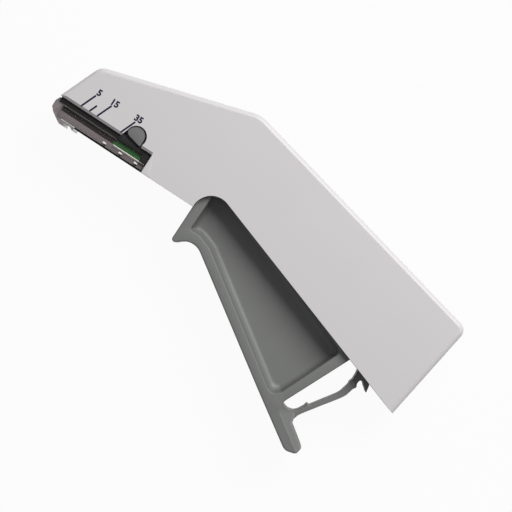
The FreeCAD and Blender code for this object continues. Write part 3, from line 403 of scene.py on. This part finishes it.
def mirrored_piece(name, points, faces):
    """A half that reaches the mid-plane, with its mirror image welded to it there."""
    twin = points * (1, 1, -1) + (0, 0, 2 * MID)
    both = np.vstack([points, twin])
    turned = [[corner + len(points) for corner in face[::-1]] for face in faces]
    piece = mesh_piece(name, both, faces + turned)
    work = bmesh.new()
    work.from_mesh(piece.data)
    bmesh.ops.remove_doubles(work, verts=work.verts, dist=0.004 * MM)
    bmesh.ops.recalc_face_normals(work, faces=work.faces)
    work.to_mesh(piece.data)
    work.free()
    piece.data.shade_smooth()
    piece.data.set_sharp_from_angle(angle=math.radians(40))
    return piece


def facet_drop(points):
    """How far the tail's bevel lies below the rim: the distance behind the nearest of three lines.
    The soft least distance is -ease * log(sum of exp(-distance / ease))."""
    total = np.zeros(len(points))
    for start, end in FACET_LINES:
        start, end = np.array(start) * MM, np.array(end) * MM
        along = (end - start) / np.linalg.norm(end - start)
        distance = (points - start) @ np.array([-along[1], along[0]])
        total += np.exp(-np.clip(distance / FACET_EASE, -40, 40))
    depth = np.clip(-FACET_EASE * np.log(total), 0, FACET_LOW)
    return np.where((points[:, 0] > 62 * MM) & (points[:, 1] < FACET_TOP), depth, 0)


outline = counter_clockwise(even_loop(rounded_loop(OUTLINE), 0.3 * MM))
inner = inwards(outline)
trigger_parts = []
side_rings = [raised(outline, MID), raised(outline, WEB_TOP)]
for turn in np.linspace(0, math.pi / 2, 6):
    ring = outline + inner * RIM_ROUND * (1 - math.cos(turn))
    top = TRIGGER_TOP - facet_drop(outline + inner * RIM_ROUND)
    side_rings.append(raised(ring, top - RIM_ROUND * (1 - math.sin(turn))))
trigger_parts.append(joined_rings(side_rings))
rim_edge = outline + inner * RIM_ROUND
ledge = counter_clockwise(rounded_loop(LEDGE))
floor = counter_clockwise(rounded_loop(inset_corners(LEDGE, WALL_WIDTHS)))
outwards = -inwards(ledge)
wall_rings = []
for turn in np.linspace(0, math.pi / 2, 5):
    ring = ledge + outwards * LEDGE_ROUND * (1 - math.sin(turn))
    wall_rings.append(raised(ring, TRIGGER_TOP - LEDGE_ROUND * (1 - math.cos(turn))))
wall_foot = WEB_TOP + WALL_FILLET
for turn in np.linspace(0, math.pi / 2, 16):
    share = WALL_DRAFT + (1 - WALL_DRAFT) * (1 - math.cos(turn))
    ring = ledge + (floor - ledge) * share
    wall_rings.append(raised(ring, wall_foot - WALL_FILLET * math.sin(turn)))
trigger_parts.append(joined_rings(wall_rings))
grid_x, grid_y = np.meshgrid(np.arange(62.4, 75.2, 0.3), np.arange(-58.8, -46.5, 0.3))
grid = np.column_stack([grid_x.ravel(), grid_y.ravel()]) * MM
mouth = ledge + outwards * LEDGE_ROUND
clear = inside(grid, outline + inner * (RIM_ROUND + 0.15 * MM)) & ~inside(grid, mouth)
corners, triangles = flat_cap(rim_edge, mouth, grid[clear])
trigger_parts.append((raised(corners, TRIGGER_TOP - facet_drop(corners)), triangles))
corners, triangles = flat_cap(floor)
trigger_parts.append((raised(corners, WEB_TOP), triangles))
trigger_skin = plastic("trigger_grey", TRIGGER_GREY, 0.42, grains=3200, drift=0.2, relief=0.006 * MM)
trigger_piece = mirrored_piece("trigger_grip", *gather(trigger_parts))
hang(trigger_piece, "trigger", "trigger", trigger_skin, "trigger")

# Spring arm: grows out of the trigger's tail, with its hooked foot on the ramps in the housing. It is drawn
# as one fixed slab in its rest shape; in use it bends at its root as the trigger is squeezed.
ARM_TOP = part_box("trigger_spring_arm")[1].z - 0.04 * MM
ARM_ROUND = 0.22 * MM
ARM_UPPER = [
    (64.6, -49.4), (65.6, -48.2), (66.46, -47.69), (67.53, -46.73), (68.3, -45.5), (68.8, -44.55),
    (68.94, -43.96), (69.12, -43.44), (69.56, -43.33), (69.89, -43.49), (70.6, -42.6), (72.43, -39.9),
    (74.1, -37.5), (75.63, -35.06), (76.22, -33.13), (76.58, -31.37), (76.51, -30.46), (76.66, -29.95),
    (76.89, -29.28), (76.86, -28.34), (76.81, -27.19), (76.6, -25.91), (76.9, -24.95), (77.7, -24.75),
]
ARM_LOWER = [
    (79.2, -25.0), (80.5, -25.9), (81.6, -27.3), (82.2, -28.3), (82.4, -29.4), (82.52, -30.52),
    (81.5, -29.75), (80.5, -28.95), (79.9, -28.35), (79.45, -28.25), (79.0, -28.42), (78.78, -28.96),
    (78.75, -29.81), (79.06, -30.45), (79.07, -31.04), (78.55, -31.82), (78.24, -32.99), (77.56, -35.06),
    (75.5, -38.2), (73.31, -41.25), (71.6, -43.7), (70.02, -45.95), (68.86, -47.75), (68.35, -49.2),
    (67.9, -50.6), (66.4, -50.7),
]


def smooth_loop(corners, steps=6):
    """A closed curve through every point. Between two points it is the cubic whose slope at each
    is half the step from the point before to the point after."""
    place = np.array(corners) * MM
    before, after = np.roll(place, 1, axis=0), np.roll(place, -1, axis=0)
    slope = (after - before) / 2
    share = np.linspace(0, 1, steps, endpoint=False)[None, :, None]
    leave = (2 * share ** 3 - 3 * share ** 2 + 1) * place[:, None]
    arrive = (3 * share ** 2 - 2 * share ** 3) * after[:, None]
    turn_out = (share ** 3 - 2 * share ** 2 + share) * slope[:, None]
    turn_in = (share ** 3 - share ** 2) * np.roll(slope, -1, axis=0)[:, None]
    return (leave + arrive + turn_out + turn_in).reshape(-1, 2)


arm_outline = counter_clockwise(even_loop(smooth_loop(ARM_UPPER + ARM_LOWER), 0.2 * MM))


def slab_piece(name, outline, low, high, edge):
    """A flat piece: its outline drawn from one level to another, with quarter-round edges."""
    turn = np.linspace(0, math.pi / 2, 5)
    inset, lift = edge * (1 - np.sin(turn)), edge * (1 - np.cos(turn))
    inner = inwards(outline)
    rings = [raised(outline + inner * a, low + b) for a, b in zip(inset, lift)]
    rings += [raised(outline + inner * a, high - b) for a, b in zip(inset[::-1], lift[::-1])]
    corners, triangles = flat_cap(outline + inner * edge)
    caps = [(raised(corners, low), triangles[:, ::-1]), (raised(corners, high), triangles)]
    piece = mesh_piece(name, *gather([joined_rings(rings)] + caps))
    work = bmesh.new()
    work.from_mesh(piece.data)
    bmesh.ops.remove_doubles(work, verts=work.verts, dist=0.004 * MM)
    bmesh.ops.recalc_face_normals(work, faces=work.faces)
    work.to_mesh(piece.data)
    work.free()
    piece.data.shade_smooth()
    piece.data.set_sharp_from_angle(angle=math.radians(40))
    return piece


def both_sides(name, corners, low, high, edge, material, slot, spacing=0.3):
    """The same slab on the left and, mirrored about mid-width, on the right; both ride on the
    housing. The levels are those of the left one."""
    outline = counter_clockwise(even_loop(rounded_loop(corners), spacing * MM))
    for side, bottom, top in (("left", low, high), ("right", 2 * MID - high, 2 * MID - low)):
        hang(slab_piece(name + "_" + side, outline, bottom, top, edge), "housing", slot, material)


arm_piece = slab_piece("trigger_spring_arm_finished", arm_outline, 2 * MID - ARM_TOP, ARM_TOP, ARM_ROUND)
bpy.context.scene.collection.objects.link(arm_piece)
arm_piece.data.materials.append(trigger_skin)
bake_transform(arm_piece)
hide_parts("trigger_spring_arm")

# Boss, neck and horn: the trigger's hidden end, moulded in one with it. The boss turns on the
# pivot pin, and the horn reaches forward and works the lever.
BOSS_TOP = MID + 4.8 * MM
HORN_TOP = MID + 3.0 * MM
NECK_OUTLINE = [
    (-2.2, -2.6, 0.3), (5.6, -6.6, 0.3), (8.2, -6.6, 0.3), (10.0, 1.2, 0.3), (1.4, 3.2, 0.6),
    (-2.2, 2.6, 2.4), (-3.4, 0, 2.0),
]
HORN_OUTLINE = [
    (-1.0, -0.8, 0.1), (-1.0, 0.8, 0.1), (-5.2, 0.85, 0.2), (-6.2, 1.5, 0.9), (-7.7, 0, 1.2),
    (-6.2, -1.5, 0.9), (-5.2, -0.85, 0.2),
]
for name, corners, top in (
    ("trigger_neck", NECK_OUTLINE, BOSS_TOP),
    ("trigger_horn", HORN_OUTLINE, HORN_TOP),
):
    outline = counter_clockwise(even_loop(rounded_loop(corners), 0.25 * MM))
    plate = slab_piece(name, outline, 2 * MID - top, top, RIM_ROUND / 2)
    hang(plate, "trigger", "trigger", trigger_skin)

# Shell toes: the corner of each shell behind the window, white ABS like the rest. They stand
# square to the track and flush with the shell's face.
TOE_OUTLINE = [(-13.05, -5.35, 0.1), (-13.0, -11.58, 0.15), (-9.8, -11.58, 0.1), (-12.5, -5.35, 0.1)]
both_sides("shell_toe", TOE_OUTLINE, LEFT_FACE - 1.8 * MM, LEFT_FACE + 0.01 * MM, 0.05 * MM, housing_skin,
           "housing", 0.15)

# Steel pins, drive lever, former and rail: stainless sheet and wire, with the fine lines of the
# rolling along the track. The two pins are pressed into the shells.
STEEL_GREY = (0.55, 0.54, 0.53)


def steel(name, colour, roughness, lines=1200):
    """Stainless steel whose gloss and tone vary in fine lines along the track."""
    material = bpy.data.materials.new(name)
    material.use_nodes = True
    tree = material.node_tree
    shader = tree.nodes["Principled BSDF"]
    shader.inputs["Metallic"].default_value = 1
    place = tree.nodes.new("ShaderNodeTexCoord")
    stretch = tree.nodes.new("ShaderNodeMapping")
    stretch.inputs["Scale"].default_value = (0.06, 1, 1)
    rolled = tree.nodes.new("ShaderNodeTexNoise")
    rolled.inputs["Scale"].default_value = lines
    gloss = tree.nodes.new("ShaderNodeMapRange")
    gloss.inputs["To Min"].default_value = roughness * 0.8
    gloss.inputs["To Max"].default_value = roughness * 1.3
    tone = tree.nodes.new("ShaderNodeMix")
    tone.data_type = "RGBA"
    tone.inputs["A"].default_value = (*(share * 0.8 for share in colour), 1)
    tone.inputs["B"].default_value = (*colour, 1)
    tree.links.new(place.outputs["Object"], stretch.inputs["Vector"])
    tree.links.new(stretch.outputs["Vector"], rolled.inputs["Vector"])
    tree.links.new(rolled.outputs["Fac"], gloss.inputs["Value"])
    tree.links.new(rolled.outputs["Fac"], tone.inputs["Factor"])
    tree.links.new(gloss.outputs["Result"], shader.inputs["Roughness"])
    tree.links.new(tone.outputs["Result"], shader.inputs["Base Color"])
    return material


bright_steel = steel("stainless_steel", STEEL_GREY, 0.28)
for node, body, edge in (
    ("trigger_pivot_pin", "housing", 0.15),
    ("lever_pivot_pin", "housing", 0.15),
    ("drive_lever", "drive_lever", 0.25),
    ("former_blade", "former", 0.06),
    ("former_rivets", "former", 0.12),
    ("anvil_rail", "housing", 0.08),
    ("ejector_spring", "housing", 0.05),
    ("staple_hold_down", "housing", 0.04),
    ("spring_guide_rod", "housing", 0.06),
):
    broken_edges(node, edge * MM, body, "steel", bright_steel)

# Former block: black acetal, moulded, with the blade riveted to its front. It slides down the
# nose between the shells when the lever pushes it.
# This black is the former block's own colour; on the cartridge carrier's floor and cheeks it is painted
# shade.
ACETAL_BLACK_AND_SHADE = (0.018, 0.018, 0.02)
black_acetal_and_painted_shade = plastic("black_acetal_and_painted_shade", ACETAL_BLACK_AND_SHADE, 0.35, drift=0.2)
broken_edges("former_carrier", 0.2 * MM, "former", "inner_plastic", black_acetal_and_painted_shade)

# Base plate: dark stainless sheet, stamped flat and fixed under the cartridge. Seen from the side
# it is the black line along the foot of the window.
PLATE_DARK = (0.02, 0.02, 0.022)
dark_stainless = steel("dark_stainless", PLATE_DARK, 0.35)
broken_edges("base_plate", 0.06 * MM, "housing", "dark_steel", dark_stainless)

# Cartridge carrier: a floor across the cartridge and two cheeks, coloured black as painted shade, with a
# grey boss on each cheek that fills the shell's notch. The boss runs out to a corner at its lower rear.
DISK_GREY = (0.165, 0.17, 0.165)
BOSS_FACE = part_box("cartridge_carrier")[1].z
disk_grey = plastic("boss_grey", DISK_GREY, 0.38, drift=0.08)
FLOOR_OUTLINE = [(-24.5, -6.9, 0.2), (-24.5, -4.4, 0.2), (-13.6, -4.4, 0.2), (-13.6, -6.9, 0.2)]
CHEEK_OUTLINE = [
    (-23.5, -4.5, 0.1), (-13.6, -4.5, 0.2), (-13.6, -1.7, 0.3), (-15.1, -0.2, 0.3), (-22.5, -0.2, 0.3),
]
DISK_OUTLINE = [(-23.35, -0.05, 2.9), (-17.6, -0.05, 2.85), (-17.7, -5.25, 0.35), (-23.45, -3.9, 1.4)]
CHEEK_FACE = LEFT_FACE - 2.1 * MM
outline = counter_clockwise(even_loop(rounded_loop(FLOOR_OUTLINE), 0.4 * MM))
floor_piece = slab_piece("cartridge_carrier_floor", outline, 2 * MID - CHEEK_FACE, CHEEK_FACE, 0.15 * MM)
hang(floor_piece, "housing", "inner_plastic", black_acetal_and_painted_shade, "cartridge_carrier")
both_sides("carrier_cheek", CHEEK_OUTLINE, CHEEK_FACE - 3 * MM, CHEEK_FACE, 0.1 * MM, black_acetal_and_painted_shade,
           "inner_plastic")
both_sides("carrier_boss", DISK_OUTLINE, CHEEK_FACE - 0.1 * MM, BOSS_FACE, 0.3 * MM, disk_grey,
           "trigger", 0.2)

# Track shade sheets: thin black sheets, cut flat and held in the shells, as painted shade. They close the
# window above the cartridge.
SHADE_SHEET_OUTLINE = [
    (-46.2, -6.95, 0.05), (-15.3, -6.95, 0.05), (-15.5, -8.9, 0.05), (-13.2, -8.9, 0.05),
    (-13.2, -4.75, 0.05), (-17.3, -4.75, 0.05),
    (-17.6, -5.3, 0.05), (-23.4, -5.3, 0.05), (-24.2, -4.6, 0.05), (-46.3, -4.6, 0.05),
]
# Near-black painted shade, used for the track sheets and the clip slots.
painted_shade_black = plastic("painted_shade_black", (0.006, 0.006, 0.007), 0.45, drift=0.1)
both_sides("track_shade_sheet", SHADE_SHEET_OUTLINE, LEFT_FACE - 2.05 * MM, LEFT_FACE - 1.87 * MM, 0.03 * MM,
           painted_shade_black, "inner_plastic")

# Side sills: frosted strips inside the cover's walls, below the staple crowns. On the outside the
# cover has three moulded clips with a slot each, the slot a black patch of painted shade, and a white strip
# behind the staples as a painted highlight.
SILL_GREY = (0.35, 0.30, 0.305)
SILL_FACE = LEFT_FACE - 3.35 * MM
COVER_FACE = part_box("cartridge_cover")[1].z
SILL_OUTLINE = [(-45.0, -11.05, 0.1), (-13.4, -11.05, 0.1), (-13.4, -8.95, 0.1), (-44.6, -8.95, 0.1)]
HIGHLIGHT_STRIP_OUTLINE = [(-25.2, -9.2, 0.1), (-13.6, -9.2, 0.1), (-13.6, -8.95, 0.1), (-25.0, -8.95, 0.1)]
CLIP_X = (-27.5, -21.7, -16.1)
sill_grey = plastic("frosted_sill", SILL_GREY, 0.5, drift=0.35, relief=0.01 * MM)
# White: the clips' own colour, and a painted highlight on the strip behind the staples and on the wall ribs.
clip_white_and_painted_highlight = plastic("clip_white_and_painted_highlight", (0.85, 0.82, 0.78), 0.4)
both_sides("cover_sill", SILL_OUTLINE, SILL_FACE - 0.11 * MM, SILL_FACE, 0.03 * MM, sill_grey,
           "inner_plastic")
both_sides("sill_highlight_strip", HIGHLIGHT_STRIP_OUTLINE, COVER_FACE, COVER_FACE + 0.1 * MM, 0.03 * MM, clip_white_and_painted_highlight,
           "inner_plastic")
for order, x in enumerate(CLIP_X, 1):
    arch = [(x - 0.7, -10.4, 0.1), (x - 0.6, -9.8, 0.25), (x + 0.5, -9.9, 0.25), (x + 0.6, -10.3, 0.1)]
    slot = [(x - 0.1, -10.95, 0.1), (x - 0.1, -10.3, 0.2), (x + 0.6, -10.3, 0.2), (x + 0.6, -10.95, 0.1)]
    both_sides("cover_clip_%d" % order, arch, COVER_FACE, COVER_FACE + 0.12 * MM, 0.04 * MM, clip_white_and_painted_highlight,
               "inner_plastic", 0.1)
    # Each slot is a flat black patch of painted shade.
    both_sides("clip_slot_shade_%d" % order, slot, COVER_FACE, COVER_FACE + 0.05 * MM, 0.02 * MM, painted_shade_black,
               "inner_plastic", 0.1)

# Staples: 35 round stainless wires bent to wide U's. They stand side by side on the rail and lean
# with the nose.
STAPLE_BROWN = (0.10, 0.075, 0.08)
WIRE = 0.52 * MM
BEND = 0.9 * MM
STAPLE_COUNT = 35


def wire_sweep(path, normal, binormal, radius, sides=10):
    """Rings of a round wire: at each path point the circle's axes are the normal in the plane of
    the bend and the binormal across it."""
    turn = np.linspace(0, 2 * math.pi, sides, endpoint=False)
    out = np.cos(turn)[None, :, None] * normal[:, None] + np.sin(turn)[None, :, None] * binormal[:, None]
    return path[:, None] + radius * out


def wire_faces(steps, sides):
    """Quads between the rings of a wire, and a cap on each end."""
    row, place = np.meshgrid(np.arange(steps - 1), np.arange(sides), indexing="ij")
    after = (place + 1) % sides
    quads = np.stack([row * sides + place, row * sides + after,
                      (row + 1) * sides + after, (row + 1) * sides + place], axis=2).reshape(-1, 4)
    last = (steps - 1) * sides
    return quads.tolist() + [list(range(sides))[::-1], list(range(last, last + sides))]


low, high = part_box("staples")
half_span = (high.z - low.z - WIRE) / 2
lean = np.array([math.cos(TICK_LEAN), math.sin(TICK_LEAN), 0.0])
across = np.array([0.0, 0.0, 1.0])
crown_length = (high.y - low.y) / lean[1]
leg = crown_length - WIRE / 2 - BEND
corner_turn = np.linspace(0, math.pi / 2, 6)
left_corner = np.column_stack([-half_span + BEND - BEND * np.cos(corner_turn),
                               BEND * (np.sin(corner_turn) - 1)])
right_corner = left_corner[::-1] * (-1, 1)
shape = np.vstack([[-half_span, -BEND - leg], left_corner, right_corner, [half_span, -BEND - leg]])
along = np.gradient(shape, axis=0)
along /= np.linalg.norm(along, axis=1)[:, None]
to_space = np.array([across, lean])
path = shape @ to_space
normal = np.column_stack([-along[:, 1], along[:, 0]]) @ to_space
binormal = np.broadcast_to(np.cross(lean, across), path.shape)
one_wire = wire_sweep(path, normal, binormal, WIRE / 2).reshape(-1, 3)
first_crown = np.array([low.x + crown_length * lean[0] + WIRE / 2 / lean[1] * 0.9, high.y - WIRE / 2, MID])
last_crown_x = high.x - WIRE / 2
step = (last_crown_x - first_crown[0]) / (STAPLE_COUNT - 1)
shift = np.arange(STAPLE_COUNT)[:, None] * np.array([[step, 0, 0]]) + first_crown
all_wires = (one_wire[None] + shift[:, None]).reshape(-1, 3)
one_set = wire_faces(len(path), 10)
faces = [[corner + index * len(one_wire) for corner in face]
         for index in range(STAPLE_COUNT) for face in one_set]
staple_metal = steel("staple_wire", STAPLE_BROWN, 0.3)
hang(mesh_piece("staple_stack", all_wires, faces), "housing", "staple_steel", staple_metal, "staples")

# Pusher: moulded green acetal slider behind the last staple, pushed by the feed spring. A thin fin
# stands up each side of it.
PUSHER_GREEN = (0.006, 0.26, 0.02)
green_acetal = plastic("green_acetal", PUSHER_GREEN, 0.3, drift=0.15)
broken_edges("pusher", 0.15 * MM, "pusher", "pusher", green_acetal)
FIN_OUTLINE = [(-25.55, -8.9, 0.1), (-15.6, -8.9, 0.1), (-15.6, -6.98, 0.2), (-24.75, -6.98, 0.2)]
FIN_THICK = 0.16 * MM
FIN_LEVEL = 16.56 * MM
outline = counter_clockwise(even_loop(rounded_loop(FIN_OUTLINE), 0.3 * MM))
for side, level in (("left", FIN_LEVEL), ("right", 2 * MID - FIN_LEVEL - FIN_THICK)):
    fin = slab_piece("pusher_fin_" + side, outline, level, level + FIN_THICK, 0.03 * MM)
    hang(fin, "pusher", "pusher", green_acetal)

# Feed spring: stainless round wire, coiled over the guide rod. It runs from the rail's end to the
# pusher. It is drawn as a fixed coil at one length; in use it opens out as the staples are used.
SPRING_WIRE = 0.3 * MM
SPRING_TURNS = 11
low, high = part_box("feed_spring")
coil_radius = (high.y - low.y) / 2 - SPRING_WIRE / 2
centre_y = (high.y + low.y) / 2
angle = np.linspace(0, 2 * math.pi * SPRING_TURNS, SPRING_TURNS * 20)
travel = np.linspace(high.x - SPRING_WIRE / 2, low.x + SPRING_WIRE / 2, len(angle))
radial = np.column_stack([np.zeros_like(angle), np.cos(angle), np.sin(angle)])
path = np.column_stack([travel, centre_y + coil_radius * np.cos(angle), MID + coil_radius * np.sin(angle)])
binormal = np.broadcast_to(np.array([1.0, 0, 0]), path.shape)
coil = wire_sweep(path, radial, binormal, SPRING_WIRE / 2, 8).reshape(-1, 3)
spring_piece = mesh_piece("feed_spring_coil", coil, wire_faces(len(path), 8))
bpy.context.scene.collection.objects.link(spring_piece)
spring_piece.data.materials.append(bright_steel)
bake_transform(spring_piece)
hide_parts("feed_spring")

# Cartridge cover: clear polycarbonate walls beside the staples and the rounded nose. It is clear
# face on and grey and more solid in the thick nose and feet; in the nose that grey is painted shade of the
# shadowed ground seen through it. Along its slanting edges it turns dark, painted shade in place of the dark
# edges that refraction gives. A white rib along the top of each wall is a painted highlight. How much of it
# shows is written as Alpha.
CLEAR_TINT = (0.24, 0.205, 0.205)
CLEAR_EDGE_SHADE = (0.012, 0.009, 0.009)
FACE_SHOWS = 0.08
NOSE_SHOWS = 0.82
NOSE_RAMP = (-44.2 * MM, -45.0 * MM)
FOOT_RAMP = (-11.15 * MM, -11.45 * MM)
# The ribs are white strips laid along the top of each wall as a painted highlight.
HIGHLIGHT_RIB_OUTLINE = [(-44.9, -7.05, 0.1), (-25.3, -7.05, 0.1), (-25.3, -6.73, 0.1), (-44.9, -6.73, 0.1)]
both_sides("cover_highlight_rib", HIGHLIGHT_RIB_OUTLINE, LEFT_FACE - 2.28 * MM, LEFT_FACE - 2.07 * MM, 0.05 * MM, clip_white_and_painted_highlight,
           "inner_plastic", 0.15)
clear = bpy.data.materials.new("clear_polycarbonate")
clear.use_nodes = True
shader = clear.node_tree.nodes["Principled BSDF"]
tree = clear.node_tree
slant = tree.nodes.new("ShaderNodeLayerWeight")
slant.inputs["Blend"].default_value = 0.5
painted_edge_shade = tree.nodes.new("ShaderNodeMix")
painted_edge_shade.data_type = "RGBA"
painted_edge_shade.inputs["A"].default_value = (*CLEAR_TINT, 1)
painted_edge_shade.inputs["B"].default_value = (*CLEAR_EDGE_SHADE, 1)
place = tree.nodes.new("ShaderNodeTexCoord")
parts = tree.nodes.new("ShaderNodeSeparateXYZ")
thick, shows, most = (tree.nodes.new("ShaderNodeMath") for _ in range(3))
thick.operation = most.operation = "MAXIMUM"
shows.operation = "MULTIPLY_ADD"
shows.inputs[1].default_value = NOSE_SHOWS - FACE_SHOWS
shows.inputs[2].default_value = FACE_SHOWS
tree.links.new(place.outputs["Object"], parts.inputs["Vector"])
for order, (clear_end, thick_end) in enumerate((NOSE_RAMP, FOOT_RAMP)):
    ramp = tree.nodes.new("ShaderNodeMapRange")
    ramp.inputs["From Min"].default_value = clear_end
    ramp.inputs["From Max"].default_value = thick_end
    tree.links.new(parts.outputs[order], ramp.inputs["Value"])
    tree.links.new(ramp.outputs["Result"], thick.inputs[order])
tree.links.new(thick.outputs[0], shows.inputs[0])
tree.links.new(shows.outputs[0], most.inputs[0])
tree.links.new(slant.outputs["Facing"], most.inputs[1])
tree.links.new(most.outputs[0], shader.inputs["Alpha"])
# Facing blends the colour towards near-black at the slanting edges: painted shade.
tree.links.new(slant.outputs["Facing"], painted_edge_shade.inputs["Factor"])
tree.links.new(painted_edge_shade.outputs["Result"], shader.inputs["Base Color"])
shader.inputs["Roughness"].default_value = 0.08
shader.inputs["IOR"].default_value = 1.5
broken_edges("cartridge_cover", 0.3 * MM, "housing", "clear_plastic", clear)

# Floor: a wide white paper sheet under the stapler. It stays white to the camera and keeps a faint
# shadow.
FLOOR_REACH = 1.5
FLOOR_GLOW = 0.95
sheet = bpy.data.meshes.new("floor")
sheet.from_pydata([(x, y, 0) for x, y in ((-FLOOR_REACH, -FLOOR_REACH), (FLOOR_REACH, -FLOOR_REACH),
                                          (FLOOR_REACH, FLOOR_REACH), (-FLOOR_REACH, FLOOR_REACH))],
                  [], [(0, 1, 2, 3)])
floor_piece = bpy.data.objects.new("floor", sheet)
bpy.context.scene.collection.objects.link(floor_piece)
paper = bpy.data.materials.new("white_sheet")
paper.use_nodes = True
tree = paper.node_tree
shader = tree.nodes["Principled BSDF"]
shader.inputs["Base Color"].default_value = (0.5, 0.5, 0.5, 1)
shader.inputs["Roughness"].default_value = 0.9
path_kind = tree.nodes.new("ShaderNodeLightPath")
straight, passed = tree.nodes.new("ShaderNodeMath"), tree.nodes.new("ShaderNodeMath")
straight.operation = passed.operation = "MAXIMUM"
dim = tree.nodes.new("ShaderNodeMath")
dim.operation = "MULTIPLY"
dim.inputs[1].default_value = FLOOR_GLOW
glow = tree.nodes.new("ShaderNodeEmission")
blend_in = tree.nodes.new("ShaderNodeMixShader")
tree.links.new(path_kind.outputs["Is Camera Ray"], straight.inputs[0])
tree.links.new(path_kind.outputs["Is Glossy Ray"], straight.inputs[1])
tree.links.new(straight.outputs[0], passed.inputs[0])
tree.links.new(path_kind.outputs["Is Transmission Ray"], passed.inputs[1])
tree.links.new(passed.outputs[0], dim.inputs[0])
tree.links.new(dim.outputs[0], blend_in.inputs["Fac"])
tree.links.new(shader.outputs["BSDF"], blend_in.inputs[1])
tree.links.new(glow.outputs["Emission"], blend_in.inputs[2])
tree.links.new(blend_in.outputs["Shader"], tree.nodes["Material Output"].inputs["Surface"])
sheet.materials.append(paper)

# Camera: a long lens square to the left side, rolled so that the track runs down to the right.
VIEW_WIDTH = 157.5 * MM
VIEW_CENTRE = Vector((30.7 * MM, -13.7 * MM, LEFT_FACE))
ROLL = math.radians(33.2)
LENS = 140.0
SENSOR = 36.0
right = Vector((math.cos(ROLL), math.sin(ROLL), 0))
up = Vector((-math.sin(ROLL), math.cos(ROLL), 0))
towards = right.cross(up)
lens = bpy.data.cameras.new("camera")
lens.lens = LENS
lens.sensor_width = SENSOR
camera = bpy.data.objects.new("camera", lens)
bpy.context.scene.collection.objects.link(camera)
spot = VIEW_CENTRE + towards * VIEW_WIDTH * LENS / SENSOR
camera.matrix_world = Matrix.Translation(spot) @ Matrix((right, up, towards)).transposed().to_4x4()
bpy.context.scene.camera = camera


# Lamps: one soft box beyond the back at the picture's upper right, and a weak even sky. At this
# level the housing's face comes out about 7 % under its written white.
KEY_DISTANCE = 0.8
KEY_SIZE = 0.5
KEY_POWER = 6.9
SKY_STRENGTH = 0.25


def soft_box(name, direction, distance, size, power):
    """A square lamp that faces the stapler's middle."""
    lamp_data = bpy.data.lights.new(name, "AREA")
    lamp_data.size = size
    lamp_data.energy = power
    lamp = bpy.data.objects.new(name, lamp_data)
    bpy.context.scene.collection.objects.link(lamp)
    way = direction.normalized()
    lamp.location = VIEW_CENTRE + way * distance
    lamp.rotation_euler = way.to_track_quat("Z", "Y").to_euler()


soft_box("key_box", right * 0.72 + up * 0.72 + towards, KEY_DISTANCE, KEY_SIZE, KEY_POWER)
sky = bpy.data.worlds.new("sky")
bpy.context.scene.world = sky
sky.use_nodes = True
background = sky.node_tree.nodes["Background"]
background.inputs["Color"].default_value = (1, 1, 1, 1)
background.inputs["Strength"].default_value = SKY_STRENGTH
bpy.context.scene.view_settings.view_transform = "Standard"
